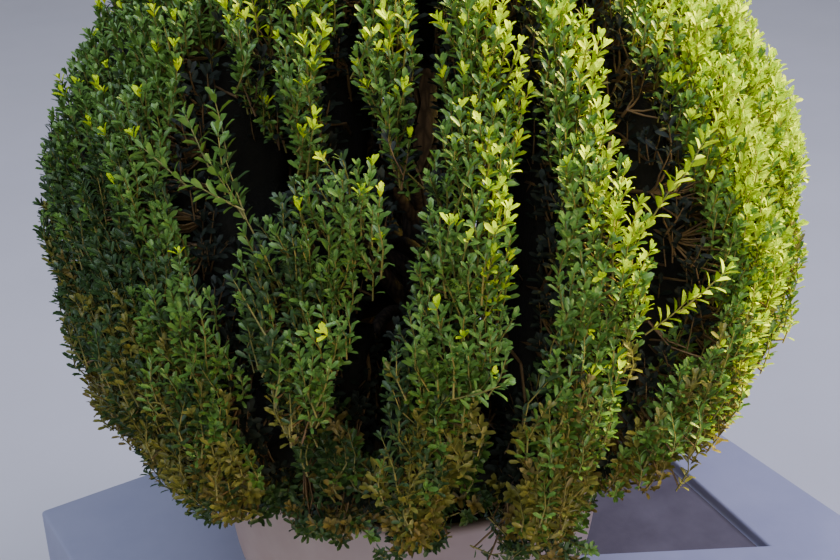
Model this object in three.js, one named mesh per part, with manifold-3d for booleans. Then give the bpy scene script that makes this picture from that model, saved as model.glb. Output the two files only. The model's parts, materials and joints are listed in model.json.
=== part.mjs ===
// A clipped box ball about 0.8 m across, growing in a round bowl that stands on a square
// planter, beside a shallow tray in the planter's top. Units are millimetres, +Z is up, and the
// origin is the middle of the planter's underside. Longitudes on the ball are degrees from its
// front, growing to the right of someone who looks at the front, and latitudes are degrees
// above its middle.
import * as THREE from "three";
import { mergeVertices } from "three/addons/utils/BufferGeometryUtils.js";
import Module from "manifold-3d";

const wasm = await Module();
wasm.setup();

// Driving dimensions
const BALL_RADIUS = 400;
const BALL_CENTRE = new THREE.Vector3(-85, 66, 860);
const FRONT_HEADING = -123.1;
const PLANTER_SIDE = 900;
const PLANTER_HEIGHT = 350;
const PLANTER_EDGE = 5;
const TRAY_FLOOR = PLANTER_HEIGHT - 15;
const TRAY_LEFT = 100;
const TRAY_BACK = 260;
const TRAY_RIGHT_AT_FRONT = 322;
const TRAY_RIGHT_AT_BACK = 366;
const TRAY_FRONT = -134;
const TRAY_FRONT_SLANT = 0.55;
const BOWL_CENTRE = new THREE.Vector2(-98, 68);
const BOWL_LIP_RADIUS = 226;
const BOWL_FOOT_RADIUS = 160;
const BOWL_BELLY_RADIUS = 222;
const BOWL_WALL = 14;
const BOWL_LIP_HEIGHT = 604;
const BOWL_LIP_CURVE = 0.3 * BOWL_WALL;
const BOWL_STEPS = 7;
const BOWL_SIDES = 32;
const SOIL_BELOW_LIP = 20;
const TOUCHING_GAP = 0.3;

// Limbs
const TRUNK_TOP = 0.4 * BALL_RADIUS;
const TRUNK_FOOT_RADIUS = 29;
const TRUNK_TIP_RADIUS = 14;
const TRUNK_FLARE = 17;
const TRUNK_FLARE_HEIGHT = 28;
const TRUNK_LOBES = 5;
const TRUNK_LEAN = 14;
const BOUGH_FOOT_RADIUS = 10.5;
const BOUGH_TIP_RADIUS = 6;
const SPRIG_GIRTH = 0.7;
const BOUGH_REACH = 0.46 * BALL_RADIUS;
const BOUGH_BEND = 0.55;
const RIB_ATTACH_LATITUDE = 10;
const FILL_ATTACH_LATITUDE = -20;
const SPRIG_ATTACH_SHARE = 0.35;
const STEM_TIP_RADIUS = 4;
const SKIRT_STEM_RADIUS = 8.4;
const UPRIGHT = 0.01;

// Foliage: radii are shares of the ball's radius
const SPACE_INNER = 0.5;
const CORE_INNER = 0.53;
const CORE_OUTER = 0.87;
const CORE_SHOULDER = 0.03;
const CORE_ROW_DEGREES = 15;
const CORE_SIDE_MARGIN = 2.2;
const CORE_SIDE_SHARE = 0.16;
const CORE_END_MARGIN = 0.8;
const STEM_END = 0.6;
const TWIG_FOOT = 0.78;
const TWIG_TIP = 0.91;
const TWIG_RADIUS = 5;
const TWIG_LIFT = 1.5;
const TWIG_LIFT_RANGE = 3;
const TWIG_SWING = 3;
const TWIG_DROOP = 4;
const LEAF_LENGTH = 84;
const LEAF_WIDTH = 38;
const LEAF_THICKNESS = 5;
const LEAF_WIDEST = 0.56;
const LEAF_ROOT_SUNK = 9;
const LEAF_SPREAD = 0.75;
const LEAF_SPREAD_RANGE = 0.35;
const LEAF_SWERVE = 0.3;
const LEAF_RISE = 0.1;
const LEAF_RISE_RANGE = 0.5;
const LEAF_TILT_RANGE = 1.2;
const LEAF_FACING = 1.7;
const LEAF_ATTEMPTS = 5;
const SPRAY_SPACING = 120;
const SPRAY_JITTER = 0.3;
const ROW_PAD = 4;
const ROW_TOP_PAD = 2;
const RIB_TOP = 63;
const FOOT = -30;

// The underside is a flat cone that runs from the ball's surface in to the bowl's lip.
const UNDERSIDE_SLOPE = 0.34;
const UNDERSIDE_DROP = 0.85;

// Ribs of foliage between the deep upright clefts: name, the height at which the bough leaves
// the trunk as a share of the ball's radius, then latitude, left and right border
const FRONT_RIBS = [
  ["left_back", -0.24, [[FOOT, -90, -58], [0, -92, -63], [30, -92, -66], [RIB_TOP, -92, -64]]],
  [
    "left", -0.4,
    [[FOOT, -56, -27], [-1, -61, -24.5], [12, -62, -27.5], [24, -64, -37], [RIB_TOP, -62, -47]],
  ],
  ["sprig_left", -0.08, [[37, -34, -27.5], [47, -41, -31.5], [RIB_TOP, -45, -32]]],
  ["upper_left", 0.06, [[31, -21, -14.5], [42, -27, -15.5], [RIB_TOP, -31, -17]]],
  [
    "low_left", -0.16,
    [[-7, -21, -14], [4, -23, -10], [18, -26, -7], [24, -22, -2], [30, -15, -6]],
  ],
  ["upper_middle", -0.02, [[32, -6, -1], [42, -12, -0.2], [RIB_TOP, -16, -0.5]]],
  [
    "middle", -0.35,
    [[-27, -7, 2], [-8, -7, 6], [10, -4.5, 12.5], [25, -1, 13], [38, 2, 18], [RIB_TOP, 1, 18]],
  ],
  [
    "right_middle", -0.21,
    [[-31, 13, 26.5], [-10, 12, 26.5], [8, 15, 29.5], [30, 17.5, 30], [RIB_TOP, 22, 38]],
  ],
  ["right", -0.4, [[-25, 28, 54], [-8, 29, 58], [4, 42, 62], [25, 38.5, 60], [RIB_TOP, 44, 62]]],
  ["right_back", -0.3, [[-27, 56, 88], [-6, 60, 90], [25, 62, 90], [RIB_TOP, 64, 90]]],
];
const BACK_BOUGH_HEIGHTS = [-0.42, -0.24, -0.36, -0.18];
const BACK_RIB_COUNT = 7;
const BACK_START = 92;
const BACK_END = 266;
const BACK_CLEFT = 4.5;

// Low foliage: fills stand back between the ribs' feet, and skirts close the underside.
const FILLS = [
  ["left", -0.52, [[FOOT, -25, -8.5], [-9, -22, -9]]],
  ["right", -0.42, [[FOOT, 4, 11.5], [-12, 7, 10.8]]],
];
const FILL_DEPTH = 0.88;
const SKIRT_COUNT = 6;
const SKIRT_START = -66.5;
const SKIRT_BOUGH_HEIGHT = -0.57;
const SKIRT_TOP = -32.5;
const SKIRT_BOTTOM = -45.5;
const SKIRT_DROOP = 0.7;
const SKIRT_CLEFT = 3;
const CROWN_BOTTOM = 64.5;
const CROWN_INNER_RING = 87;
const CROWN_SHOULDER = 0.45;
const CROWN_STEM_END = 0.7;

// Seeds for the ribs are counted up from the first one, and the others start further on.
const RIB_SEED = 20;
const FILL_SEED = 60;
const SKIRT_SEED = 80;
const CROWN_SEED = 100;
const BACK_BORDER_SEED = 120;

function seededRandom(seed) {
  let state = seed >>> 0;
  return () => {
    state = (state + 0x6d2b79f5) >>> 0;
    let mixed = Math.imul(state ^ (state >>> 15), state | 1);
    mixed ^= mixed + Math.imul(mixed ^ (mixed >>> 7), mixed | 61);
    return ((mixed ^ (mixed >>> 14)) >>> 0) / 4294967296;
  };
}

const degrees = (value) => THREE.MathUtils.degToRad(value);
const mix = THREE.MathUtils.lerp;

// Unit vector from the ball's centre at a longitude and latitude in degrees.
function heading(longitude, latitude) {
  const turn = degrees(FRONT_HEADING + longitude);
  const rise = degrees(latitude);
  return new THREE.Vector3(
    Math.cos(turn) * Math.cos(rise),
    Math.sin(turn) * Math.cos(rise),
    Math.sin(rise),
  );
}

function onBall(longitude, latitude, share) {
  return heading(longitude, latitude).multiplyScalar(share * BALL_RADIUS).add(BALL_CENTRE);
}

// How far the foliage reaches at a latitude, as a share of the ball's radius.
function reachAt(latitude) {
  const rise = degrees(latitude);
  const floor = UNDERSIDE_SLOPE * Math.cos(rise) - Math.sin(rise);
  return floor > 0 ? Math.min(1, UNDERSIDE_DROP / floor) : 1;
}

// Solids

function toSolid(geometry) {
  const bare = geometry.index ? geometry.toNonIndexed() : geometry.clone();
  bare.deleteAttribute("normal");
  bare.deleteAttribute("uv");
  const merged = mergeVertices(bare, 1e-4);
  const mesh = new wasm.Mesh({
    numProp: 3,
    vertProperties: merged.attributes.position.array,
    triVerts: new Uint32Array(merged.index.array),
  });
  return new wasm.Manifold(mesh);
}

// The largest body: a sealed hollow inside it is filled and loose scrap is dropped.
function soundBody(solid) {
  const bodies = solid.decompose();
  return bodies.reduce((best, body) => (body.volume() > best.volume() ? body : best));
}

function toGeometry(solid) {
  const mesh = solid.getMesh();
  const geometry = new THREE.BufferGeometry();
  geometry.setAttribute("position", new THREE.BufferAttribute(mesh.vertProperties, 3));
  geometry.setIndex(new THREE.BufferAttribute(mesh.triVerts, 1));
  geometry.computeVertexNormals();
  return geometry;
}

// Closed body through a row of sections with equal numbers of points, ends closed by fans.
function loft(sections) {
  const sides = sections[0].length;
  const points = sections.flat();
  const faces = [];
  for (let row = 0; row + 1 < sections.length; row++)
    for (let side = 0; side < sides; side++) {
      const next = (side + 1) % sides;
      const [a, b] = [row * sides + side, row * sides + next];
      const [c, d] = [a + sides, b + sides];
      faces.push([a, b, d], [a, d, c]);
    }
  const last = (sections.length - 1) * sides;
  for (let side = 1; side + 1 < sides; side++) {
    faces.push([0, side + 1, side]);
    faces.push([last, last + side, last + side + 1]);
  }
  return closedGeometry(points, faces);
}

// Triangles over shared points, turned to face out.
function closedGeometry(points, faces) {
  const volume = faces.reduce((sum, [a, b, c]) => {
    const across = points[b].clone().cross(points[c]);
    return sum + points[a].dot(across);
  }, 0);
  const outward = volume < 0 ? faces.map(([a, b, c]) => [a, c, b]) : faces;
  const geometry = new THREE.BufferGeometry().setFromPoints(points);
  geometry.setIndex(outward.flat());
  return geometry;
}

// Tapering limb along a curve, its end cuts square to it.
function limb(curve, footRadius, tipRadius, { sides = 6, steps = 5 } = {}) {
  const sections = [];
  for (let step = 0; step <= steps; step++) {
    const along = step / steps;
    const centre = curve.getPoint(along);
    const tangent = curve.getTangent(along);
    const upright = Math.hypot(tangent.x, tangent.y) < UPRIGHT;
    const level = new THREE.Vector3(upright ? 1 : -tangent.y, upright ? 0 : tangent.x, 0);
    level.normalize();
    const over = tangent.clone().cross(level);
    const radius = mix(footRadius, tipRadius, along);
    sections.push(
      Array.from({ length: sides }, (_, side) => {
        const turn = (2 * Math.PI * side) / sides;
        return centre
          .clone()
          .addScaledVector(level, radius * Math.cos(turn))
          .addScaledVector(over, radius * Math.sin(turn));
      }),
    );
  }
  return loft(sections);
}

// Planter, bowl and soil

function squareSection(half, height) {
  return [
    new THREE.Vector3(-half, -half, height),
    new THREE.Vector3(half, -half, height),
    new THREE.Vector3(half, half, height),
    new THREE.Vector3(-half, half, height),
  ];
}

// The planter's block, up to the floor of the tray.
function planterBlockGeometry() {
  const half = PLANTER_SIDE / 2;
  return loft([squareSection(half, 0), squareSection(half, TRAY_FLOOR)]);
}

// The four slabs round the tray that make the planter's top, as corners in plan for a half
// side of the planter. The tray's front side is slanted, and its line parts two slabs.
function topSlabs(half) {
  const gap = TOUCHING_GAP / 2;
  const front = (x) => TRAY_FRONT - TRAY_FRONT_SLANT * (x - TRAY_RIGHT_AT_FRONT);
  return {
    left: [[-half, -half], [TRAY_LEFT - gap, -half], [TRAY_LEFT - gap, half], [-half, half]],
    back: [
      [TRAY_LEFT + gap, TRAY_BACK + gap],
      [half, TRAY_BACK + gap],
      [half, half],
      [TRAY_LEFT + gap, half],
    ],
    right: [
      [TRAY_RIGHT_AT_FRONT, TRAY_FRONT + 2 * gap],
      [half, front(half) + 2 * gap],
      [half, TRAY_BACK - gap],
      [TRAY_RIGHT_AT_BACK, TRAY_BACK - gap],
    ],
    front: [
      [TRAY_LEFT + gap, -half],
      [half, -half],
      [half, front(half)],
      [TRAY_LEFT + gap, front(TRAY_LEFT + gap)],
    ],
  };
}

// One slab: upright sides, with a small chamfer along the planter's outer edge.
function slabGeometry(side) {
  const half = PLANTER_SIDE / 2;
  const section = (reach, height) =>
    topSlabs(reach)[side].map(([x, y]) => new THREE.Vector3(x, y, height));
  return loft([
    section(half, TRAY_FLOOR + TOUCHING_GAP),
    section(half, PLANTER_HEIGHT - PLANTER_EDGE),
    section(half - PLANTER_EDGE, PLANTER_HEIGHT),
  ]);
}

// Half outline of the bowl's outside, from its foot up to under its lip. Between them it goes
// through places given as shares of the belly's radius and of the bowl's height.
function bowlSide() {
  const foot = PLANTER_HEIGHT + TOUCHING_GAP;
  const height = BOWL_LIP_HEIGHT - foot;
  const swell = [[0.84, 0.146], [0.955, 0.376], [1, 0.726]];
  const curve = new THREE.SplineCurve([
    new THREE.Vector2(BOWL_FOOT_RADIUS, foot),
    ...swell.map(([out, up]) => new THREE.Vector2(out * BOWL_BELLY_RADIUS, foot + up * height)),
    new THREE.Vector2(BOWL_LIP_RADIUS, BOWL_LIP_HEIGHT - BOWL_LIP_CURVE),
  ]);
  return curve.getPoints(BOWL_STEPS);
}

function latheAtBowl(profile) {
  const geometry = new THREE.LatheGeometry(profile, BOWL_SIDES);
  geometry.rotateX(Math.PI / 2);
  geometry.translate(BOWL_CENTRE.x, BOWL_CENTRE.y, 0);
  return geometry;
}

function bowlGeometry() {
  const side = bowlSide();
  const inner = side.slice(1).reverse();
  const profile = [
    new THREE.Vector2(0, side[0].y),
    ...side,
    new THREE.Vector2(BOWL_LIP_RADIUS - BOWL_LIP_CURVE, BOWL_LIP_HEIGHT),
    new THREE.Vector2(BOWL_LIP_RADIUS - BOWL_WALL + BOWL_LIP_CURVE, BOWL_LIP_HEIGHT),
    ...inner.map((point) => new THREE.Vector2(point.x - BOWL_WALL, point.y)),
    new THREE.Vector2(0, inner[inner.length - 1].y),
  ];
  return latheAtBowl(profile);
}

const SOIL_LEVEL = BOWL_LIP_HEIGHT - SOIL_BELOW_LIP;

function soilGeometry() {
  const shrink = BOWL_WALL + TOUCHING_GAP;
  const side = bowlSide().slice(1).filter((point) => point.y < SOIL_LEVEL - BOWL_WALL);
  const profile = [
    new THREE.Vector2(0, side[0].y + TOUCHING_GAP),
    new THREE.Vector2(side[0].x - shrink, side[0].y + TOUCHING_GAP),
    ...side.slice(1).map((point) => new THREE.Vector2(point.x - shrink, point.y)),
    new THREE.Vector2(side[side.length - 1].x - shrink, SOIL_LEVEL),
    new THREE.Vector2(0, SOIL_LEVEL),
  ];
  return latheAtBowl(profile);
}

// Trunk and boughs

const TRUNK_FOOT = SOIL_LEVEL + TOUCHING_GAP - BALL_CENTRE.z;

// Point on the trunk's axis at a height above the ball's centre.
function trunkAxis(height) {
  const along = (height - TRUNK_FOOT) / (TRUNK_TOP - TRUNK_FOOT);
  const lean = TRUNK_LEAN * (1 - along);
  const sway = 0.5 * TRUNK_LEAN * Math.sin(Math.PI * along);
  const offset = new THREE.Vector3(lean - sway, sway - 0.6 * lean, height);
  return offset.add(BALL_CENTRE);
}

// The trunk grown by an allowance all round: level rings, flared and lobed at the foot.
function trunkGeometry(allowance = 0) {
  const sides = 15;
  const steps = 12;
  const sections = [];
  for (let step = 0; step <= steps; step++) {
    const along = Math.pow(step / steps, 1.5);
    const height = mix(TRUNK_FOOT, TRUNK_TOP, along);
    const centre = trunkAxis(height);
    const flare = TRUNK_FLARE * Math.exp((TRUNK_FOOT - height) / TRUNK_FLARE_HEIGHT);
    const radius = mix(TRUNK_FOOT_RADIUS, TRUNK_TIP_RADIUS, along) + allowance;
    sections.push(
      Array.from({ length: sides }, (_, side) => {
        const turn = (2 * Math.PI * side) / sides;
        const out = radius + flare * (1 + 0.35 * Math.cos(TRUNK_LOBES * turn));
        return new THREE.Vector3(Math.cos(turn), Math.sin(turn), 0).multiplyScalar(out).add(centre);
      }),
    );
  }
  return loft(sections);
}

const trunkClearance = toSolid(trunkGeometry(TOUCHING_GAP));

// Curve from the trunk's axis that comes to its end along a ray from the ball's centre.
function boughCurve(longitude, latitude, startHeight, share) {
  const out = heading(longitude, latitude);
  const end = out.clone().multiplyScalar(share * BALL_RADIUS).add(BALL_CENTRE);
  const bend = out.clone().multiplyScalar(BOUGH_BEND * share * BALL_RADIUS).add(BALL_CENTRE);
  return new THREE.QuadraticBezierCurve3(trunkAxis(startHeight), bend, end);
}

function boughGeometry(longitude, latitude, startHeight, girth) {
  const curve = boughCurve(longitude, latitude, startHeight, BOUGH_REACH / BALL_RADIUS);
  const body = toSolid(limb(curve, girth * BOUGH_FOOT_RADIUS, girth * BOUGH_TIP_RADIUS));
  return toGeometry(soundBody(body.subtract(trunkClearance)));
}

// Foliage masses

// A mass keeps to a space: borders by latitude, an inner radius and an outer reach.
class Space {
  constructor(stations, depth = 1) {
    this.stations = stations;
    this.depth = depth;
    this.bottom = stations[0][0];
    this.top = stations[stations.length - 1][0];
  }

  borders(latitude) {
    const rows = this.stations;
    const last = rows.length - 2;
    const found = rows.findIndex((row, index) => index <= last && latitude <= rows[index + 1][0]);
    const index = found < 0 ? last : found;
    const [low, high] = [rows[index], rows[index + 1]];
    const share = THREE.MathUtils.clamp((latitude - low[0]) / (high[0] - low[0]), 0, 1);
    return [mix(low[1], high[1], share), mix(low[2], high[2], share)];
  }

  middle(latitude) {
    const [left, right] = this.borders(latitude);
    return (left + right) / 2;
  }

  outer(latitude) {
    return this.depth * reachAt(latitude);
  }

  holds(point) {
    const ray = point.clone().sub(BALL_CENTRE);
    const share = ray.length() / BALL_RADIUS;
    const latitude = THREE.MathUtils.radToDeg(Math.asin(ray.z / ray.length()));
    if (latitude < this.bottom || latitude > this.top) return false;
    if (share < SPACE_INNER || share > this.outer(latitude)) return false;
    const [left, right] = this.borders(latitude);
    if (right - left >= 360) return true;
    const turn = THREE.MathUtils.radToDeg(Math.atan2(ray.y, ray.x)) - FRONT_HEADING;
    const across = turn - 360 * Math.round((turn - (left + right) / 2) / 360);
    return across > left && across < right;
  }
}

// Core that the leaves stand out of: a wedge through level cuts of the space.
function coreGeometry(space) {
  const rows = Math.max(2, Math.ceil((space.top - space.bottom) / CORE_ROW_DEGREES));
  const sections = [];
  for (let row = 0; row <= rows; row++) {
    const [low, high] = [space.bottom + CORE_END_MARGIN, space.top - CORE_END_MARGIN];
    const latitude = mix(low, high, row / rows);
    const [left, right] = space.borders(latitude);
    const margin = Math.min(CORE_SIDE_MARGIN, CORE_SIDE_SHARE * (right - left));
    const ends = row === 0 || row === rows;
    const outer = space.outer(latitude) * (CORE_OUTER - (ends ? CORE_SHOULDER : 0));
    const across = [0, 0.5, 1].map((share) => mix(left + margin, right - margin, share));
    sections.push([
      onBall(across[0], latitude, CORE_INNER),
      onBall(across[2], latitude, CORE_INNER),
      onBall(across[2], latitude, outer - CORE_SHOULDER),
      onBall(across[1], latitude, outer),
      onBall(across[0], latitude, outer - CORE_SHOULDER),
    ]);
  }
  return loft(sections);
}

// Round cap over the pole for the crown, rings of points closing in to a small top.
function crownCoreGeometry(space) {
  const sides = 12;
  const ring = (latitude, share) =>
    Array.from({ length: sides }, (_, side) => onBall((360 * side) / sides, latitude, share));
  const edge = space.bottom + CORE_END_MARGIN;
  return loft([
    ring(CROWN_INNER_RING, CORE_INNER),
    ring(edge, CORE_INNER),
    ring(edge, CORE_OUTER - CORE_SHOULDER),
    ring(mix(edge, 90, CROWN_SHOULDER), CORE_OUTER),
    ring(CROWN_INNER_RING, CORE_OUTER),
  ]);
}

// Leaf of eight faces: pointed root and tip, widest past the middle, thick along its vein.
function leafPoints(root, along, across, length) {
  const normal = along.clone().cross(across).normalize();
  const widest = root.clone().addScaledVector(along, LEAF_WIDEST * length);
  const half = (LEAF_WIDTH * length) / LEAF_LENGTH / 2;
  return [
    root,
    root.clone().addScaledVector(along, length),
    widest.clone().addScaledVector(across, half),
    widest.clone().addScaledVector(across, -half),
    widest.clone().addScaledVector(normal, LEAF_THICKNESS / 2),
    widest.clone().addScaledVector(normal, -LEAF_THICKNESS / 2),
  ];
}

function leafGeometry(points) {
  const faces = [
    [1, 2, 4], [1, 4, 3], [1, 3, 5], [1, 5, 2],
    [0, 4, 2], [0, 3, 4], [0, 5, 3], [0, 2, 5],
  ];
  return closedGeometry(points, faces);
}

// Three-sided tapering twig.
function twigGeometry(foot, tip) {
  const along = tip.clone().sub(foot).normalize();
  const level = along.clone().cross(new THREE.Vector3(0.3, 0.2, 1)).normalize();
  const over = along.clone().cross(level);
  const section = (centre, radius) =>
    [0, 1, 2].map((side) => {
      const turn = (2 * Math.PI * side) / 3;
      return centre
        .clone()
        .addScaledVector(level, radius * Math.cos(turn))
        .addScaledVector(over, radius * Math.sin(turn));
    });
  return loft([section(foot, TWIG_RADIUS), section(tip, 0.7 * TWIG_RADIUS)]);
}

// One spray: a twig out of the core with a leaf at its tip and a pair beside it.
function addSpray(space, longitude, latitude, random, pieces) {
  const reach = space.outer(latitude);
  const foot = onBall(longitude, latitude, TWIG_FOOT * reach);
  const droop = latitude < FOOT ? SKIRT_DROOP : 0;
  const lift = TWIG_LIFT + TWIG_LIFT_RANGE * random() - TWIG_DROOP * droop;
  const swing = TWIG_SWING * (random() - 0.5);
  const tip = onBall(longitude + swing, latitude + lift, TWIG_TIP * reach);
  if (!space.holds(tip) || !space.holds(foot)) return;
  pieces.push(toSolid(twigGeometry(foot, tip)));
  const up = new THREE.Vector3(0, 0, 1);
  const along = tip.clone().sub(foot).normalize();
  const side = along.clone().cross(up).normalize();
  // Each leaf: the side it turns to, its place along the twig and its size
  const leaves = [
    [0, 0.98, 1],
    [1, 0.62, 0.9],
    [-1, 0.62, 0.9],
  ];
  for (const [hand, start, size] of leaves) {
    const root = foot.clone().lerp(tip, start).addScaledVector(along, -LEAF_ROOT_SUNK);
    for (let attempt = 0; attempt < LEAF_ATTEMPTS; attempt++) {
      const swerve = LEAF_SWERVE * (random() - 0.5);
      const spread = hand * (LEAF_SPREAD + LEAF_SPREAD_RANGE * random()) + swerve;
      const rise = LEAF_RISE + LEAF_RISE_RANGE * random() - droop;
      const way = along.clone().addScaledVector(side, spread).addScaledVector(up, rise).normalize();
      const facing = LEAF_FACING + LEAF_TILT_RANGE * (random() - 0.5);
      const across = way.clone().cross(along.clone().addScaledVector(side, facing)).normalize();
      const length = LEAF_LENGTH * size * (1.06 - 0.1 * attempt);
      const points = leafPoints(root, way, across, length);
      if (!points.every((point) => space.holds(point))) continue;
      pieces.push(toSolid(leafGeometry(points)));
      break;
    }
  }
}

// Places for sprays: rows by latitude, evenly spread across each row.
function addFoliage(space, random, pieces) {
  const pad = Math.min(ROW_PAD, (space.top - space.bottom) / 4);
  const rise = degrees(space.top - space.bottom - 2 * pad) * BALL_RADIUS;
  const rows = Math.round(rise / SPRAY_SPACING);
  for (let row = 0; row <= rows; row++) {
    const along = rows > 0 ? row / rows : 0.4;
    const latitude = mix(space.bottom + pad, space.top - pad - ROW_TOP_PAD, along);
    const [left, right] = space.borders(latitude);
    const span = degrees(right - left) * BALL_RADIUS * Math.cos(degrees(latitude));
    const count = Math.max(1, Math.round(span / SPRAY_SPACING));
    for (let place = 0; place < count; place++) {
      const share = (place + 0.5 + SPRAY_JITTER * (random() - 0.5)) / count;
      addSpray(space, mix(left, right, share), latitude, random, pieces);
    }
  }
}

// A mass: its stem, core, twigs and leaves joined into one body.
function massGeometry(space, core, stem, seed) {
  const random = seededRandom(seed);
  const pieces = [];
  addFoliage(space, random, pieces);
  const joined = pieces.reduce((sum, piece) => sum.add(piece), toSolid(core).add(stem));
  return toGeometry(soundBody(joined));
}

// Straight stem that takes over from a bough's tip and ends inside the core.
function stemFromBough(longitude, latitude, girth) {
  const start = onBall(longitude, latitude, (BOUGH_REACH + TOUCHING_GAP) / BALL_RADIUS);
  const end = onBall(longitude, latitude, STEM_END);
  const line = new THREE.LineCurve3(start, end);
  return toSolid(limb(line, girth * BOUGH_TIP_RADIUS, girth * STEM_TIP_RADIUS, { steps: 1 }));
}

function stemFromTrunk(longitude, latitude, startHeight) {
  const curve = boughCurve(longitude, latitude, startHeight, STEM_END);
  const body = toSolid(limb(curve, SKIRT_STEM_RADIUS, STEM_TIP_RADIUS, { steps: 4 }));
  return soundBody(body.subtract(trunkClearance));
}

// Assembly

const finishes = {
  planter: { color: 0xd9dbe2, roughness: 0.62 },
  bowl: { color: 0xe6ddd5, roughness: 0.5 },
  soil: { color: 0x3a2b20, roughness: 1 },
  bark: { color: 0x6a5a45, roughness: 0.9 },
  foliage: { color: 0x5c7a2c, roughness: 0.55 },
  lowFoliage: { color: 0x4c5a26, roughness: 0.6 },
};

const group = new THREE.Group();

function addMesh(name, geometry, finish) {
  const material = new THREE.MeshStandardMaterial({ ...finishes[finish], metalness: 0 });
  const mesh = new THREE.Mesh(geometry, material);
  mesh.name = name;
  group.add(mesh);
}

// A mass on its own bough: the bough leaves the trunk below the place where it enters.
function addMassOnBough(name, space, startHeight, attachLatitude, seed, finish = "foliage") {
  const longitude = space.middle(attachLatitude);
  const girth = space.bottom > 0 ? SPRIG_GIRTH : 1;
  const bough = boughGeometry(longitude, attachLatitude, startHeight, girth);
  addMesh("bough_" + name, bough, "bark");
  const stem = stemFromBough(longitude, attachLatitude, girth);
  const prefix = finish === "foliage" ? "rib_" : "fill_";
  addMesh(prefix + name, massGeometry(space, coreGeometry(space), stem, seed), finish);
}

function backRibStations(index) {
  const pitch = (BACK_END - BACK_START) / BACK_RIB_COUNT;
  const random = seededRandom(BACK_BORDER_SEED + index);
  const left = BACK_START + index * pitch;
  const right = left + pitch - BACK_CLEFT;
  const foot = FOOT + 4 * random();
  return [
    [foot, left + 2.5 * random(), right - 2.5 * random()],
    [2, left + 0.5 * random(), right - 2 * random()],
    [28, left + 2.5 * random(), right],
    [RIB_TOP, left, right],
  ];
}

function buildPlant() {
  addMesh("trunk", trunkGeometry(), "bark");
  const ribs = [...FRONT_RIBS];
  for (let index = 0; index < BACK_RIB_COUNT; index++)
    ribs.push(["back_" + (index + 1), BACK_BOUGH_HEIGHTS[index % 4], backRibStations(index)]);
  ribs.forEach(([name, start, stations], index) => {
    const space = new Space(stations);
    const sprigAttach = mix(space.bottom, space.top, SPRIG_ATTACH_SHARE);
    const attach = space.bottom > 0 ? sprigAttach : RIB_ATTACH_LATITUDE;
    addMassOnBough(name, space, start * BALL_RADIUS, attach, RIB_SEED + index);
  });
  FILLS.forEach(([name, start, stations], index) => {
    const space = new Space(stations, FILL_DEPTH);
    const [height, seed] = [start * BALL_RADIUS, FILL_SEED + index];
    addMassOnBough("foot_" + name, space, height, FILL_ATTACH_LATITUDE, seed, "lowFoliage");
  });
  for (let index = 0; index < SKIRT_COUNT; index++) {
    const left = (360 / SKIRT_COUNT) * index + SKIRT_START;
    const right = left + 360 / SKIRT_COUNT - SKIRT_CLEFT;
    const space = new Space([[SKIRT_BOTTOM, left, right], [SKIRT_TOP, left, right]]);
    const middle = (left + right) / 2;
    const start = SKIRT_BOUGH_HEIGHT * BALL_RADIUS;
    const stem = stemFromTrunk(middle, (SKIRT_TOP + SKIRT_BOTTOM) / 2, start);
    const geometry = massGeometry(space, coreGeometry(space), stem, SKIRT_SEED + index);
    addMesh("skirt_" + (index + 1), geometry, "lowFoliage");
  }
  const crown = new Space([[CROWN_BOTTOM, 0, 360], [90, 0, 360]]);
  const top = trunkAxis(TRUNK_TOP + TOUCHING_GAP);
  const end = top.clone().setZ(BALL_CENTRE.z + CROWN_STEM_END * BALL_RADIUS);
  const rise = new THREE.LineCurve3(top, end);
  const stem = toSolid(limb(rise, 0.7 * TRUNK_TIP_RADIUS, STEM_TIP_RADIUS, { steps: 1 }));
  addMesh("crown", massGeometry(crown, crownCoreGeometry(crown), stem, CROWN_SEED), "foliage");
}

addMesh("planter_block", planterBlockGeometry(), "planter");
for (const side of ["front", "right", "back", "left"])
  addMesh("planter_top_" + side, slabGeometry(side), "planter");
addMesh("bowl", bowlGeometry(), "bowl");
addMesh("soil", soilGeometry(), "soil");
buildPlant();

export default group;
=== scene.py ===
"""A clipped box ball with deep upright clefts, in a round bowl on a square planter.

Metres, +Z up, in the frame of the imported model. Longitudes on the ball are degrees from its
front, growing to the right of someone who looks at the front; latitudes are degrees above its
middle; radii inside the ball are shares of its radius.
"""
import json
import logging
import math
from collections.abc import Callable
from dataclasses import dataclass, field
from enum import Enum

import bmesh
import bpy
import numpy as np
from mathutils import Euler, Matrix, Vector, noise

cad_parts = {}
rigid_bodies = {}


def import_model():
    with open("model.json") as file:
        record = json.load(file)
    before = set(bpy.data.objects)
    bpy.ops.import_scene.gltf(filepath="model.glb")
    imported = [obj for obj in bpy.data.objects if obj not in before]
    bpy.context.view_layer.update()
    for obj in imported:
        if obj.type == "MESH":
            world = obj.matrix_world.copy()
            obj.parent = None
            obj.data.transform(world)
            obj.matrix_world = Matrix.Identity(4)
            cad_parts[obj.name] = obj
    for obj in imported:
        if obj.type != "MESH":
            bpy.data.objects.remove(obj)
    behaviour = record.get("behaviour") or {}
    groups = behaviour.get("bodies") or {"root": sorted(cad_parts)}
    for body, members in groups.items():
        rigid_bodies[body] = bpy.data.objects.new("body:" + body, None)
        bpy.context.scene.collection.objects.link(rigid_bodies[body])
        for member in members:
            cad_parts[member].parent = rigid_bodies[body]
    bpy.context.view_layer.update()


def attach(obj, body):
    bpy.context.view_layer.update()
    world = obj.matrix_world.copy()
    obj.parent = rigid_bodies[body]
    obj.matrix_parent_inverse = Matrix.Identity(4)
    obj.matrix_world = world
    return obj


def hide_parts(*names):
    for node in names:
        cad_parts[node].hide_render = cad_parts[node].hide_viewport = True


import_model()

logging.basicConfig(level=logging.INFO, format="%(message)s")
log = logging.getLogger("box_ball")

BODY = "root"
SEED = 20
UP = np.array([0.0, 0.0, 1.0])


# Helpers


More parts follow.
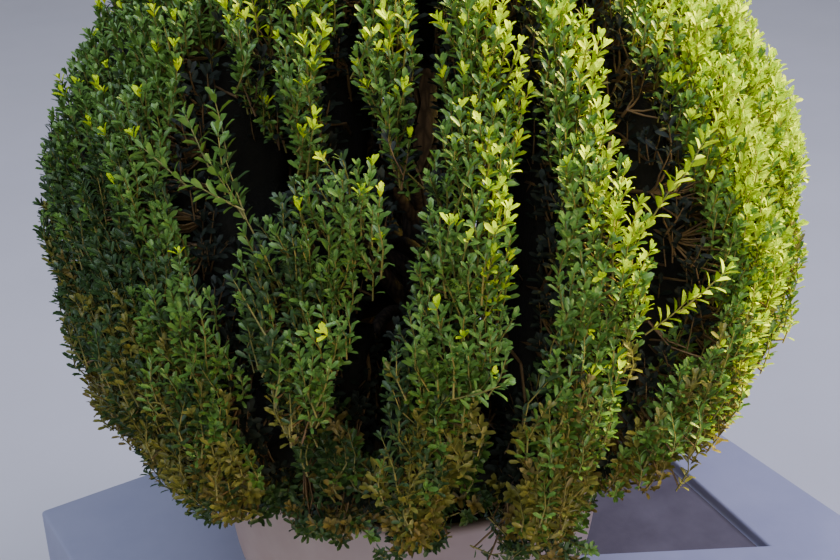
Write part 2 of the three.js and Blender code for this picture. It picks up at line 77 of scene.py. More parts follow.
def unit(vectors: np.ndarray) -> np.ndarray:
    """Return the vectors, one a row, at length one."""
    return vectors / np.linalg.norm(vectors, axis=-1, keepdims=True)


def mix(low: float, high: float, share: float) -> float:
    """Return the value a share of the way from low to high."""
    return low + (high - low) * share


def linear(colour: str) -> tuple[float, float, float, float]:
    """Turn an sRGB hex colour into linear red, green, blue and alpha.

    Args:
        colour: six hex digits after a #.

    Returns:
        The four linear values.
    """
    values = [int(colour[at : at + 2], 16) / 255 for at in (1, 3, 5)]
    bent = [v / 12.92 if v <= 0.04045 else ((v + 0.055) / 1.055) ** 2.4 for v in values]
    return (bent[0], bent[1], bent[2], 1.0)


def seeded_random(seed: int) -> Callable[[], float]:
    """Make the small random generator that the solids' source uses, for the same borders.

    Args:
        seed: any whole number.

    Returns:
        A function that draws the next number from 0 to 1.
    """
    state = seed & 0xFFFFFFFF

    def draw() -> float:
        """Draw the next number.

        Returns:
            A number from 0 to 1.
        """
        nonlocal state
        state = (state + 0x6D2B79F5) & 0xFFFFFFFF
        mixed = ((state ^ (state >> 15)) * (state | 1)) & 0xFFFFFFFF
        turned = ((mixed ^ (mixed >> 7)) * (mixed | 61)) & 0xFFFFFFFF
        mixed ^= (mixed + turned) & 0xFFFFFFFF
        return ((mixed ^ (mixed >> 14)) & 0xFFFFFFFF) / 4294967296

    return draw


# Finishes


NOISE_ROUGHNESS = 0.6


def add_node(
    tree: bpy.types.NodeTree,
    kind: str,
    values: dict[str | int, object] | None = None,
    links: dict[str | int, bpy.types.NodeSocket] | None = None,
    stops: tuple[tuple[float, str], ...] = (),
    **settings: object,
) -> bpy.types.Node:
    """Add a node to a tree.

    Args:
        tree: the node tree.
        kind: the node's type.
        values: numbers or colours for its input sockets, by name or index.
        links: output sockets that feed its input sockets, by name or index.
        stops: a ramp's places, each with its sRGB hex colour.
        settings: the node's own properties.

    Returns:
        The new node.
    """
    made = tree.nodes.new(kind)
    for key, value in settings.items():
        setattr(made, key, value)
    for key, value in (values or {}).items():
        made.inputs[key].default_value = value
    for key, socket in (links or {}).items():
        tree.links.new(socket, made.inputs[key])
    for number, (place, colour) in enumerate(stops):
        made.color_ramp.elements[number].position = place
        made.color_ramp.elements[number].color = linear(colour)
    return made


def start_material(
    name: str,
) -> tuple[bpy.types.Material, bpy.types.NodeTree, bpy.types.NodeSocket]:
    """Make a node material that holds only the object's coordinates.

    Args:
        name: the real material's name.

    Returns:
        The material, its tree and the coordinates' socket.
    """
    material = bpy.data.materials.new(name)
    material.use_nodes = True
    tree = material.node_tree
    tree.nodes.clear()
    return material, tree, add_node(tree, "ShaderNodeTexCoord").outputs["Object"]


@dataclass(frozen=True)
class LeafFinish:
    """Box leaf: a leathery leaf with a thin wax coat, so it keeps its green and glints softly."""

    name: str
    dark: str
    light: str
    roughness: float = 0.42
    ior: float = 1.45
    patch_mm: float = 11.0

    def build(self) -> bpy.types.Material:
        """Make the material: two near shades, in patches about as large as a leaf.

        Returns:
            The material.
        """
        material, tree, place = start_material(self.name)
        patches = add_node(
            tree, "ShaderNodeTexNoise",
            {"Scale": 1000 / self.patch_mm, "Detail": 2.0, "Roughness": NOISE_ROUGHNESS},
            {"Vector": place},
        )
        ramp = add_node(
            tree, "ShaderNodeValToRGB", links={"Fac": patches.outputs["Fac"]},
            stops=((0.35, self.dark), (0.65, self.light)),
        )
        shader = add_node(
            tree, "ShaderNodeBsdfPrincipled", {"Roughness": self.roughness, "IOR": self.ior},
            {"Base Color": ramp.outputs["Color"]},
        )
        add_node(tree, "ShaderNodeOutputMaterial", links={"Surface": shader.outputs[0]})
        return material


@dataclass(frozen=True)
class StemFinish(LeafFinish):
    """Young box stem: smooth, thin skinned and without wax, in longer patches than a leaf's."""

    roughness: float = 0.6
    patch_mm: float = 30.0


@dataclass(frozen=True)
class BarkFinish:
    """Box bark: corky, finely cracked along the limb, dull grey brown."""

    name: str = "box bark"
    crack: str = "#1f1912"
    ridge: str = "#43392c"
    cork_mm: float = 7.0
    grain_mm: float = 3.0

    def build(self) -> bpy.types.Material:
        """Make the material, with its cracks as colour and bump.

        Returns:
            The material.
        """
        material, tree, place = start_material(self.name)
        longer = add_node(
            tree, "ShaderNodeMapping", {"Scale": (1, 1, 0.3)}, {"Vector": place}
        )
        cells = add_node(
            tree, "ShaderNodeTexVoronoi", {"Scale": 1000 / self.cork_mm},
            {"Vector": longer.outputs[0]}, feature="DISTANCE_TO_EDGE",
        )
        grain = add_node(
            tree, "ShaderNodeTexNoise",
            {"Scale": 1000 / self.grain_mm, "Detail": 3.0, "Roughness": NOISE_ROUGHNESS},
            {"Vector": place},
        )
        ramp = add_node(
            tree, "ShaderNodeValToRGB", links={"Fac": cells.outputs["Distance"]},
            stops=((0.02, self.crack), (0.3, self.ridge)),
        )
        both = add_node(
            tree, "ShaderNodeMath", {1: 0.4},
            {0: cells.outputs["Distance"], 2: grain.outputs["Fac"]}, operation="MULTIPLY_ADD",
        )
        bump = add_node(
            tree, "ShaderNodeBump", {"Strength": 0.6, "Distance": 0.0015},
            {"Height": both.outputs[0]},
        )
        shader = add_node(
            tree, "ShaderNodeBsdfPrincipled", {"Roughness": 0.85, "IOR": 1.45},
            {"Base Color": ramp.outputs["Color"], "Normal": bump.outputs["Normal"]},
        )
        add_node(tree, "ShaderNodeOutputMaterial", links={"Surface": shader.outputs[0]})
        return material


@dataclass(frozen=True)
class SurfaceFinish:
    """Hard or crumbly surface: mottled colour, soft relief and a fine grain."""

    name: str
    dark: str
    light: str
    roughness: float
    mottle_mm: float
    grain_mm: float
    relief_mm: float
    ior: float = 1.45

    def build(self) -> bpy.types.Material:
        """Make the material: broad mottle in the colour, grain in the relief.

        Returns:
            The material.
        """
        material, tree, place = start_material(self.name)
        mottle, grain = (
            add_node(
                tree, "ShaderNodeTexNoise",
                {"Scale": 1000 / size, "Detail": detail, "Roughness": NOISE_ROUGHNESS},
                {"Vector": place},
            )
            for size, detail in ((self.mottle_mm, 4.0), (self.grain_mm, 2.0))
        )
        ramp = add_node(
            tree, "ShaderNodeValToRGB", links={"Fac": mottle.outputs["Fac"]},
            stops=((0.3, self.dark), (0.7, self.light)),
        )
        bump = add_node(
            tree, "ShaderNodeBump", {"Strength": 0.5, "Distance": self.relief_mm / 1000},
            {"Height": grain.outputs["Fac"]},
        )
        shader = add_node(
            tree, "ShaderNodeBsdfPrincipled",
            {"Roughness": self.roughness, "IOR": self.ior},
            {"Base Color": ramp.outputs["Color"], "Normal": bump.outputs["Normal"]},
        )
        add_node(tree, "ShaderNodeOutputMaterial", links={"Surface": shader.outputs[0]})
        return material


class Shade(Enum):
    """The shades of leaf, dealt out by spray: partly painted light and shade, partly the leaves'
    own age.
    """

    # Leaves far inside take nearly no light, so they are painted near black: painted shade, dull,
    # with the glint held back by a low IOR.
    NIGHT = LeafFinish("box leaf inside a cleft", "#141b14", "#1f2920", 0.65, 1.3)
    # Behind the clipped face and away from the key lamp the leaves are painted a darker blue green:
    # painted shade. The wax still shows as a faint cool glint.
    DEEP = LeafFinish("box leaf in deep shade", "#2c4423", "#3e5b30", 0.45)
    # A mature leaf is the glossiest: mid green with a soft highlight down its fold.
    GREEN = LeafFinish("mature box leaf", "#4a6f2f", "#628a3b", 0.36)
    # Where the key lamp falls, mature leaves are painted a matt yellow green: painted sunlight.
    # Young and unfolding leaves are real soft new growth with little wax, so they look matt and
    # full of colour in the sun. They are also dealt out more where the key lamp falls, which is
    # painted sunlight too. The low IOR keeps a white sheen from paling it.
    FRESH = LeafFinish("box leaf in painted sunlight", "#84a012", "#a0bc18", 0.6, 1.25)
    YOUNG = LeafFinish("young box leaf", "#a6c600", "#c0de00", 0.6, 1.2)
    TIP = LeafFinish("unfolding box leaf", "#cae400", "#dcf208", 0.6, 1.2)
    # Old leaves low on the ball have lost their green: olive, then dry brown.
    OLIVE = LeafFinish("old box leaf", "#5f612a", "#787932", 0.42)
    BRONZE = LeafFinish("bronzed box leaf", "#645b2a", "#796e36", 0.5)


# Corky bark breaks the light into short dark cracks. Real ones are finer than 7 mm, and are
# drawn as coarse as that to show.
BARK = BarkFinish()
# Woody twigs look dull straw brown between the leaves, and this year's are yellow green.
BROWN_STEM = StemFinish("brown box twig", "#54422a", "#74603c")
GREEN_STEM = StemFinish("green box twig", "#5f6430", "#86803e")
# The twigs inside a mass shade each other; a rough shell painted near black stands in for them:
# painted shade.
PAINTED_SHADE_CORE = SurfaceFinish("twig tangle in shade", "#080a05", "#15160c", 1.0, 30, 5, 4)
# Trowelled render under masonry paint looks chalky and even, with slow cloudy changes. Its
# grit is finer than 2.2 mm, and is drawn as coarse as that to show.
RENDER = SurfaceFinish("painted lime render", "#a6a8be", "#b4b6c9", 0.72, 140, 2.2, 0.35)
# The tray's floor is painted darker and brownish, in smaller blotches, and is duller: the darkness
# is painted shade from the ball above it.
PAINTED_TRAY_SHADE = SurfaceFinish("lime render with painted shade", "#5f585f", "#726b71", 0.8, 60, 2.2, 0.35)
# A matt glaze gives fired clay a broad soft sheen over warm, slightly uneven colour.
GLAZE = SurfaceFinish("matt glazed stoneware", "#cfad96", "#ddc1aa", 0.45, 90, 3, 0.15)
# Damp bark chips look dark and crumbly, with no sheen.
COMPOST = SurfaceFinish("bark compost", "#1f1610", "#46352a", 1.0, 9, 4, 3)
# A plain pale floor takes the shadow and draws no eye.
FLOOR = SurfaceFinish("pale studio floor", "#d9d8d5", "#dfdedb", 0.9, 400, 5, 0.05)


# Joined meshes


class Batch:
    """Small shapes gathered as arrays and joined into one mesh."""

    def __init__(self, corners: int) -> None:
        """Start an empty batch.

        Args:
            corners: how many corners each face has.
        """
        self.corners = corners
        self.points: list[np.ndarray] = []
        self.faces: list[np.ndarray] = []
        self.total = 0

    def add(self, shapes: np.ndarray, pattern: np.ndarray) -> None:
        """Add copies of a shape.

        Args:
            shapes: points, as copies by points of one copy by 3.
            pattern: faces of one copy, as rows of point numbers.
        """
        copies, size = shapes.shape[:2]
        starts = self.total + size * np.arange(copies)
        self.points.append(shapes.reshape(-1, 3))
        self.faces.append((starts[:, None, None] + pattern[None]).reshape(-1, self.corners))
        self.total += copies * size

    def piece(self, name: str, material: bpy.types.Material) -> bpy.types.Object:
        """Make one smooth shaded object that holds the whole batch.

        Args:
            name: the object's name.
            material: its finish.

        Returns:
            The new object.
        """
        points = np.concatenate(self.points).astype(np.float32)
        faces = np.concatenate(self.faces).astype(np.int32)
        mesh = bpy.data.meshes.new(name)
        mesh.vertices.add(len(points))
        mesh.vertices.foreach_set("co", points.ravel())
        mesh.loops.add(faces.size)
        mesh.loops.foreach_set("vertex_index", faces.ravel())
        mesh.polygons.add(len(faces))
        starts = np.arange(0, faces.size, self.corners, dtype=np.int32)
        mesh.polygons.foreach_set("loop_start", starts)
        mesh.polygons.foreach_set("use_smooth", np.ones(len(faces), dtype=bool))
        mesh.update(calc_edges=True)
        mesh.materials.append(material)
        made = bpy.data.objects.new(name, mesh)
        bpy.context.scene.collection.objects.link(made)
        return made


def finish_bmesh(
    shape: bmesh.types.BMesh, name: str, material: bpy.types.Material, smooth_angle: float
) -> bpy.types.Object:
    """Turn a bmesh into an object at the origin.

    Args:
        shape: the bmesh, freed here.
        name: the object's name.
        material: its finish.
        smooth_angle: edges sharper than this many degrees stay sharp.

    Returns:
        The new object.
    """
    bmesh.ops.recalc_face_normals(shape, faces=shape.faces)
    limit = math.radians(smooth_angle)
    for edge in shape.edges:
        edge.smooth = len(edge.link_faces) < 2 or edge.calc_face_angle(0) < limit
    for face in shape.faces:
        face.smooth = True
    mesh = bpy.data.meshes.new(name)
    shape.to_mesh(mesh)
    shape.free()
    mesh.materials.append(material)
    made = bpy.data.objects.new(name, mesh)
    bpy.context.scene.collection.objects.link(made)
    return made


def hand_over(piece: bpy.types.Object, nodes: list[str]) -> None:
    """Let a piece ride with the object and stand for its nodes, which are hidden.

    Args:
        piece: the finished object.
        nodes: the solids that it stands for.
    """
    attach(piece, BODY)
    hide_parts(*nodes)
    triangles = sum(len(face.vertices) - 2 for face in piece.data.polygons)
    log.info("%s: %d triangles, stands for %d nodes", piece.name, triangles, len(nodes))


# The ball


@dataclass(frozen=True)
class Ball:
    """The clipped outline: a ball whose underside is cut in to the bowl's lip."""

    radius: float = 0.4
    centre: tuple[float, float, float] = (-0.085, 0.066, 0.860)
    front: float = -123.1
    underside_slope: float = 0.34
    underside_drop: float = 0.85

    def outward(self, longitude: np.ndarray, latitude: np.ndarray) -> np.ndarray:
        """Find the unit vectors from the centre towards places on the ball.

        Args:
            longitude: their longitudes.
            latitude: their latitudes.

        Returns:
            Vectors, along the last axis.
        """
        turn = np.radians(self.front + np.asarray(longitude, float))
        rise = np.radians(np.asarray(latitude, float))
        turn, rise = np.broadcast_arrays(turn, rise)
        level = np.cos(rise)
        return np.stack([np.cos(turn) * level, np.sin(turn) * level, np.sin(rise)], -1)

    def eastward(self, longitude: np.ndarray) -> np.ndarray:
        """Return level unit vectors towards growing longitude."""
        turn = np.radians(self.front + np.asarray(longitude, float))
        return np.stack([-np.sin(turn), np.cos(turn), np.zeros_like(turn)], -1)

    def at(self, longitude: np.ndarray, latitude: np.ndarray, share: np.ndarray) -> np.ndarray:
        """Return points at a share of the radius."""
        out = self.outward(longitude, latitude)
        return np.asarray(self.centre) + out * (self.radius * np.asarray(share, float))[..., None]

    def reach(self, latitude: np.ndarray) -> np.ndarray:
        """Find how far foliage reaches before the underside's cut.

        Args:
            latitude: latitudes on the ball.

        Returns:
            Shares of the radius.
        """
        rise = np.radians(np.asarray(latitude, float))
        floor = self.underside_slope * np.cos(rise) - np.sin(rise)
        cut = self.underside_drop / np.maximum(floor, 1e-6)
        return np.where(floor > 0, np.minimum(1, cut), 1)


BALL = Ball()


class Kind(Enum):
    """What a mass of foliage is, which is also how its node's name starts."""

    RIB = "rib"
    FILL = "fill"
    SKIRT = "skirt"
    CROWN = "crown"


@dataclass(frozen=True)
class Mass:
    """One mass of foliage: its node, its space and the bough that carries it.

    Each station is a latitude with the left and right border there.
    """

    name: str
    kind: Kind
    bough_height: float
    stations: tuple[tuple[float, float, float], ...]
    seed: int

    @property
    def node(self) -> str:
        """Return the name of the mass's solid."""
        return "crown" if self.kind is Kind.CROWN else f"{self.kind.value}_{self.name}"

    @property
    def bottom(self) -> float:
        """Return the lowest latitude."""
        return self.stations[0][0]

    @property
    def top(self) -> float:
        """Return the highest latitude."""
        return self.stations[-1][0]

    @property
    def hangs(self) -> bool:
        """Return whether the mass is a sprig that starts high on the ball."""
        return self.kind is Kind.RIB and self.bottom > -20

    @property
    def behind(self) -> bool:
        """Return whether the mass is off the front, where clefts are narrow."""
        return self.kind is Kind.SKIRT or abs(sum(self.borders(20.0)) / 2) > 85

    @property
    def depth(self) -> float:
        """Return how far out the mass comes, as a share of the reach."""
        return 0.88 if self.kind is Kind.FILL else 1.0

    @property
    def attach(self) -> float:
        """Find where up the mass the bough comes in.

        Returns:
            A latitude.
        """
        if self.kind is Kind.FILL:
            return -20.0
        if self.kind is Kind.SKIRT:
            return (self.bottom + self.top) / 2
        return mix(self.bottom, self.top, 0.35) if self.bottom > 0 else 10.0

    def borders(self, latitude: np.ndarray) -> tuple[np.ndarray, np.ndarray]:
        """Find the mass's borders, as the solids have them.

        Args:
            latitude: latitudes on the ball.

        Returns:
            The left and the right border's longitudes.
        """
        rows = np.array(self.stations)
        left = np.interp(latitude, rows[:, 0], rows[:, 1])
        right = np.interp(latitude, rows[:, 0], rows[:, 2])
        return left, right

    def outer(self, latitude: np.ndarray) -> np.ndarray:
        """Return the reach at latitudes as a share of the ball's radius."""
        return self.depth * BALL.reach(latitude)


FOOT, RIB_TOP = -30.0, 63.0
FRONT_RIBS = (
    ("left_back", -0.24, ((FOOT, -90, -58), (0, -92, -63), (30, -92, -66), (RIB_TOP, -92, -64))),
    (
        "left", -0.4,
        ((FOOT, -56, -27), (-1, -61, -24.5), (12, -62, -27.5), (24, -64, -37), (RIB_TOP, -62, -47)),
    ),
    ("sprig_left", -0.08, ((37, -34, -27.5), (47, -41, -31.5), (RIB_TOP, -45, -32))),
    ("upper_left", 0.06, ((31, -21, -14.5), (42, -27, -15.5), (RIB_TOP, -31, -17))),
    (
        "low_left", -0.16,
        ((-7, -21, -14), (4, -23, -10), (18, -26, -7), (24, -22, -2), (30, -15, -6)),
    ),
    ("upper_middle", -0.02, ((32, -6, -1), (42, -12, -0.2), (RIB_TOP, -16, -0.5))),
    (
        "middle", -0.35,
        ((-27, -7, 2), (-8, -7, 6), (10, -4.5, 12.5), (25, -1, 13), (38, 2, 18), (RIB_TOP, 1, 18)),
    ),
    (
        "right_middle", -0.21,
        ((-31, 13, 26.5), (-10, 12, 26.5), (8, 15, 29.5), (30, 17.5, 30), (RIB_TOP, 22, 38)),
    ),
    ("right", -0.4, ((-25, 28, 54), (-8, 29, 58), (4, 42, 62), (25, 38.5, 60), (RIB_TOP, 44, 62))),
    ("right_back", -0.3, ((-27, 56, 88), (-6, 60, 90), (25, 62, 90), (RIB_TOP, 64, 90))),
)
BACK_HEIGHTS = (-0.42, -0.24, -0.36, -0.18)
BACK_COUNT, BACK_START, BACK_END, BACK_CLEFT = 7, 92.0, 266.0, 4.5
FILLS = (
    ("foot_left", -0.52, ((FOOT, -25, -8.5), (-9, -22, -9))),
    ("foot_right", -0.42, ((FOOT, 4, 11.5), (-12, 7, 10.8))),
)
SKIRT_COUNT, SKIRT_START, SKIRT_TOP, SKIRT_BOTTOM, SKIRT_CLEFT = 6, -66.5, -32.5, -45.5, 3.0
SKIRT_HEIGHT = -0.57
CROWN_BOTTOM = 64.5


def back_stations(index: int) -> tuple[tuple[float, float, float], ...]:
    """Draw the borders of a rib on the back, as the solids' source draws them.

    Args:
        index: the rib's number, from 0.

    Returns:
        Its stations, from the foot up.
    """
    pitch = (BACK_END - BACK_START) / BACK_COUNT
    draw = seeded_random(SEED + 100 + index)
    left = BACK_START + index * pitch
    right = left + pitch - BACK_CLEFT
    foot = FOOT + 4 * draw()
    return (
        (foot, left + 2.5 * draw(), right - 2.5 * draw()),
        (2, left + 0.5 * draw(), right - 2 * draw()),
        (28, left + 2.5 * draw(), right),
        (RIB_TOP, left, right),
    )


def all_masses() -> list[Mass]:
    """List every mass of foliage.

    Returns:
        The masses, in the order of the solids' source.
    """
    rows = [(name, height, stations) for name, height, stations in FRONT_RIBS]
    for index in range(BACK_COUNT):
        rows.append((f"back_{index + 1}", BACK_HEIGHTS[index % 4], back_stations(index)))
    masses = [Mass(n, Kind.RIB, h, s, i) for i, (n, h, s) in enumerate(rows)]
    masses += [Mass(n, Kind.FILL, h, s, 40 + i) for i, (n, h, s) in enumerate(FILLS)]
    pitch = 360 / SKIRT_COUNT
    for index in range(SKIRT_COUNT):
        left = pitch * index + SKIRT_START
        right = left + pitch - SKIRT_CLEFT
        stations = ((SKIRT_BOTTOM, left, right), (SKIRT_TOP, left, right))
        masses.append(Mass(str(index + 1), Kind.SKIRT, SKIRT_HEIGHT, stations, 60 + index))
    crown = ((CROWN_BOTTOM, 0.0, 360.0), (90.0, 0.0, 360.0))
    masses.append(Mass("crown", Kind.CROWN, 0.4, crown, 80))
    return masses


# Trunk and boughs


@dataclass
class Limbs:
    """The trunk and the boughs that fork from it inside the ball."""

    foot: float = 0.5843 - 0.860
    top: float = 0.16
    foot_radius: float = 0.029
    tip_radius: float = 0.014
    flare: float = 0.017
    flare_height: float = 0.028
    lobes: int = 5
    lean: float = 0.014
    bough_foot: float = 0.0105
    bough_tip: float = 0.006
    sprig_girth: float = 0.7
    reach: float = 0.46
    masses: list[Mass] = field(default_factory=list)

    def axis(self, height: float) -> np.ndarray:
        """Find a point on the trunk's axis, which leans and sways a little.

        Args:
            height: metres above the ball's centre.

        Returns:
            The point.
        """
        along = (height - self.foot) / (self.top - self.foot)
        lean = self.lean * (1 - along)
        sway = 0.5 * self.lean * math.sin(math.pi * along)
        return np.array([lean - sway, sway - 0.6 * lean, height]) + np.asarray(BALL.centre)

    def bough_points(self, mass: Mass, share: float, steps: int) -> np.ndarray:
        """Lay a bough's curve from the trunk's axis out towards a mass.

        Args:
            mass: the mass of foliage.
            share: where it ends, as a share of the ball's radius.
            steps: how many steps it has.

        Returns:
            Points, one more than the steps.
        """
        left, right = mass.borders(mass.attach)
        out = BALL.outward((left + right) / 2, mass.attach)
        start = self.axis(mass.bough_height * BALL.radius)
        bend = np.asarray(BALL.centre) + out * 0.55 * share * BALL.radius
        end = np.asarray(BALL.centre) + out * share * BALL.radius
        t = np.linspace(0, 1, steps + 1)[:, None]
        return (1 - t) ** 2 * start + 2 * t * (1 - t) * bend + t**2 * end

    @staticmethod
    def tube(
        shape: bmesh.types.BMesh, centres: np.ndarray, radii: np.ndarray, sides: int,
        relief: float, flares: np.ndarray | None = None, lobes: int = 0,
    ) -> None:
        """Grow a closed limb along a row of centres, ring by ring.

        Args:
            shape: the bmesh that takes the limb.
            centres: the middle of each ring.
            radii: the radius of each ring.
            sides: how many points a ring has.
            relief: how far the bark stands in and out.
            flares: extra radius of each ring, in lobes round it.
            lobes: how many lobes a flare has.
        """
        tangents = unit(np.gradient(centres, axis=0))
        level = np.array([1.0, 0.0, 0.0]) if abs(tangents[0][2]) > 0.9 else UP
        ring = bmesh.ops.create_circle(shape, segments=sides, radius=1.0, cap_ends=True)["verts"]
        edges = list({edge for vert in ring for edge in vert.link_edges})
        rings = [ring]
        for _ in centres[1:]:
            grown = bmesh.ops.extrude_edge_only(shape, edges=edges)["geom"]
            edges = [part for part in grown if isinstance(part, bmesh.types.BMEdge)]
            # The grown points keep the ring's order, which is found again by their place.
            new = [part for part in grown if isinstance(part, bmesh.types.BMVert)]
            edges = [e for e in edges if e.verts[0] in new and e.verts[1] in new]
            order = {}
            for vert in new:
                for edge in vert.link_edges:
                    other = edge.other_vert(vert)
                    if other in rings[-1]:
                        order[rings[-1].index(other)] = vert
            rings.append([order[at] for at in range(sides)])
        for index, row in enumerate(rings):
            across = unit(np.cross(tangents[index], level))
            over = np.cross(tangents[index], across)
            flare = 0.0 if flares is None else flares[index]
            for at, vert in enumerate(row):
                turn = 2 * math.pi * at / sides
                radius = radii[index] + flare * (1 + 0.35 * math.cos(lobes * turn))
                way = across * math.cos(turn) + over * math.sin(turn)
                place = Vector(centres[index] + way * radius)
                bump = noise.noise(Vector((place.x * 90, place.y * 90, place.z * 30)))
                vert.co = place + Vector(way) * bump * relief
        bmesh.ops.contextual_create(shape, geom=edges)

    def build(self) -> None:
        """Make the trunk and the boughs, and hand them over."""
        material = BARK.build()
        along = np.linspace(0, 1, 34) ** 1.3
        heights = self.foot + along * (self.top - self.foot)
        shape = bmesh.new()
        self.tube(
            shape,
            np.array([self.axis(height) for height in heights]),
            self.foot_radius + along * (self.tip_radius - self.foot_radius),
            30,
            0.0022,
            self.flare * np.exp((self.foot - heights) / self.flare_height),
            self.lobes,
        )
        hand_over(finish_bmesh(shape, "trunk_with_bark", material, 60), ["trunk"])
        shape = bmesh.new()
        nodes = []
        for mass in self.masses:
            if mass.kind in (Kind.SKIRT, Kind.CROWN):
                continue
            girth = self.sprig_girth if mass.bottom > 0 else 1.0
            centres = self.bough_points(mass, self.reach, 14)
            radii = np.linspace(self.bough_foot, self.bough_tip, 15) * girth
            self.tube(shape, centres, radii, 10, 0.0009)
            nodes.append(f"bough_{mass.name}")
        hand_over(finish_bmesh(shape, "boughs_with_bark", material, 60), nodes)


# Foliage


@dataclass(frozen=True)
class Leaf:
    """Box leaf: spoon shaped with a blunt tip, folded a little along its midrib."""

    length: float = 0.0124
    half_width: float = 0.185
    fold: float = 0.08
    curl: float = 0.17

    # Places on the blade: along it, across it. The last one is on the midrib.
    OUTLINE = np.array(
        [(0, 0), (0.42, 0.86), (0.84, 0.9), (1, 0), (0.84, -0.9), (0.42, -0.86), (0.6, 0)]
    )
    FACES = np.array([(0, 5, 6), (5, 4, 6), (4, 3, 6), (3, 2, 6), (2, 1, 6), (1, 0, 6)])

    def blades(
        self, roots: np.ndarray, ways: np.ndarray, normals: np.ndarray, lengths: np.ndarray
    ) -> np.ndarray:
        """Lay out blades.

        Args:
            roots: where each leaf starts.
            ways: the unit direction of each midrib.
            normals: the unit direction that each upper face looks in.
            lengths: each leaf's length.

        Returns:
            Points, as leaves by 7 by 3.
        """
        along, across = self.OUTLINE[:, 0], self.OUTLINE[:, 1] * self.half_width
        lift = self.fold * np.abs(self.OUTLINE[:, 1]) - self.curl * along**2
        sideways = np.cross(normals, ways)
        size = lengths[:, None, None]
        return (
            roots[:, None]
            + ways[:, None] * along[None, :, None] * size
            + sideways[:, None] * across[None, :, None] * size
            + normals[:, None] * lift[None, :, None] * size
        )


LEAF = Leaf()
TWIG_FACES = np.array(
    [(ring * 3 + at, ring * 3 + (at + 1) % 3, ring * 3 + 3 + (at + 1) % 3, ring * 3 + 3 + at)
     for ring in range(2) for at in range(3)]
)


@dataclass(frozen=True)
class Habit:
    """How a kind of shoot carries its leaves."""

    pairs: int
    spacing: float
    open_low: float
    open_high: float
    leaf_scale: float
    tuft: int
    bend: float

    @property
    def length(self) -> float:
        """Return the shoot's length in metres."""
        return self.pairs * self.spacing


class ShootKind(Enum):
    """Shoots that stand upright, arch up from a low side, fill the inside or cross a cleft."""

    UPRIGHT = Habit(7, 0.0062, 58, 30, 1.0, 3, 0.14)
    ARCHED = Habit(7, 0.0062, 58, 32, 1.0, 3, 0.42)
    INNER = Habit(4, 0.0085, 62, 42, 1.15, 2, 0.1)
    STRAY = Habit(6, 0.0078, 58, 40, 1.35, 3, 0.12)


@dataclass
class Template:
    """One shoot in its own frame: old leaves, young leaves, their twig and the twig's tip."""

    old: np.ndarray
    young: np.ndarray
    twig: np.ndarray
    tip: np.ndarray


class ShootLibrary:
    """Shoots drawn once by a seeded rule and then set all over the ball."""

    VARIANTS = 18
    TWIG_RADIUS = 0.00085

    def __init__(self, seed: int) -> None:
        """Draw every variant of every kind.

        Args:
            seed: what starts the random generator.
        """
        self.random = np.random.default_rng(seed)
        self.shoots = {
            kind: [self.draw(kind.value) for _ in range(self.VARIANTS)] for kind in ShootKind
        }

    def draw(self, habit: Habit) -> Template:
        """Draw one shoot: crossed pairs of leaves up a bent twig, and a tuft at its tip.

        Args:
            habit: how the shoot carries its leaves.

        Returns:
            The shoot in its own frame.
        """
        rng = self.random
        length, bend = habit.length, habit.bend * rng.uniform(0.3, 1.6)
        rows = []
        phase = rng.uniform(0, 180)
        for pair in range(habit.pairs):
            share = (pair + 0.5 + rng.uniform(-0.15, 0.15)) / habit.pairs
            phase += 90 + rng.normal(0, 10)
            for side in (0, 180):
                opening = mix(habit.open_low, habit.open_high, share) + rng.normal(0, 8)
                size = 0.74 + 0.62 * share * (1.25 - share) + rng.normal(0, 0.05)
                rows.append((share, phase + side + rng.normal(0, 9), opening, size))
        for leaf in range(habit.tuft):
            turn = phase + 45 + 360 * leaf / habit.tuft + rng.normal(0, 14)
            rows.append((1.0, turn, rng.uniform(10, 26), rng.uniform(0.52, 0.8)))
        share, turn, opening, size = (np.array(column) for column in zip(*rows))
        turn, opening = np.radians(turn), np.radians(opening)
        zeros = np.zeros_like(share)
        roots = np.stack([zeros, bend * length * share**2, length * share], -1)
        axis = unit(np.stack([zeros, 2 * bend * share, np.ones_like(share)], -1))
        across = np.tile([1.0, 0.0, 0.0], (len(share), 1))
        over = np.cross(axis, across)
        radial = across * np.cos(turn)[:, None] + over * np.sin(turn)[:, None]
        ways = axis * np.cos(opening)[:, None] + radial * np.sin(opening)[:, None]
        normals = axis * np.sin(opening)[:, None] - radial * np.cos(opening)[:, None]
        roll = np.radians(rng.normal(0, 16, len(share)))[:, None]
        normals = normals * np.cos(roll) + np.cross(ways, normals) * np.sin(roll)
        blades = LEAF.blades(roots, ways, normals, LEAF.length * habit.leaf_scale * size)
        young = share > 0.84
        tip = np.array([0, bend * length, length])
        return Template(blades[~young], blades[young], self.stem(length, bend), tip)

    def stem(self, length: float, bend: float) -> np.ndarray:
        """Draw a shoot's twig in three rings, from a little below its foot.

        Args:
            length: the shoot's length in metres.
            bend: how far its tip bends aside.

        Returns:
            The rings' points.
        """
        rings = []
        for share, girth in ((-0.1, 1.2), (0.5, 1.0), (1.0, 0.6)):
            centre = np.array([0, bend * length * share**2, length * share])
            for side in range(3):
                turn = 2 * math.pi * side / 3
                way = np.array([math.cos(turn), math.sin(turn), 0])
                rings.append(centre + way * girth * self.TWIG_RADIUS)
        return np.array(rings)


@dataclass
class Shoots:
    """Where shoots stand: tips, directions, sizes, and what decides their colours, which paint
    light, shade and age into them.
    """

    kind: ShootKind
    tips: np.ndarray
    axes: np.ndarray
    sizes: np.ndarray
    facing: np.ndarray
    latitude: np.ndarray
    depth: np.ndarray

    def part(self, kind: ShootKind, chosen: np.ndarray) -> "Shoots":
        """Return the chosen shoots as shoots of a kind."""
        rows = (self.tips, self.axes, self.sizes, self.facing, self.latitude, self.depth)
        return Shoots(kind, *(row[chosen] for row in rows))


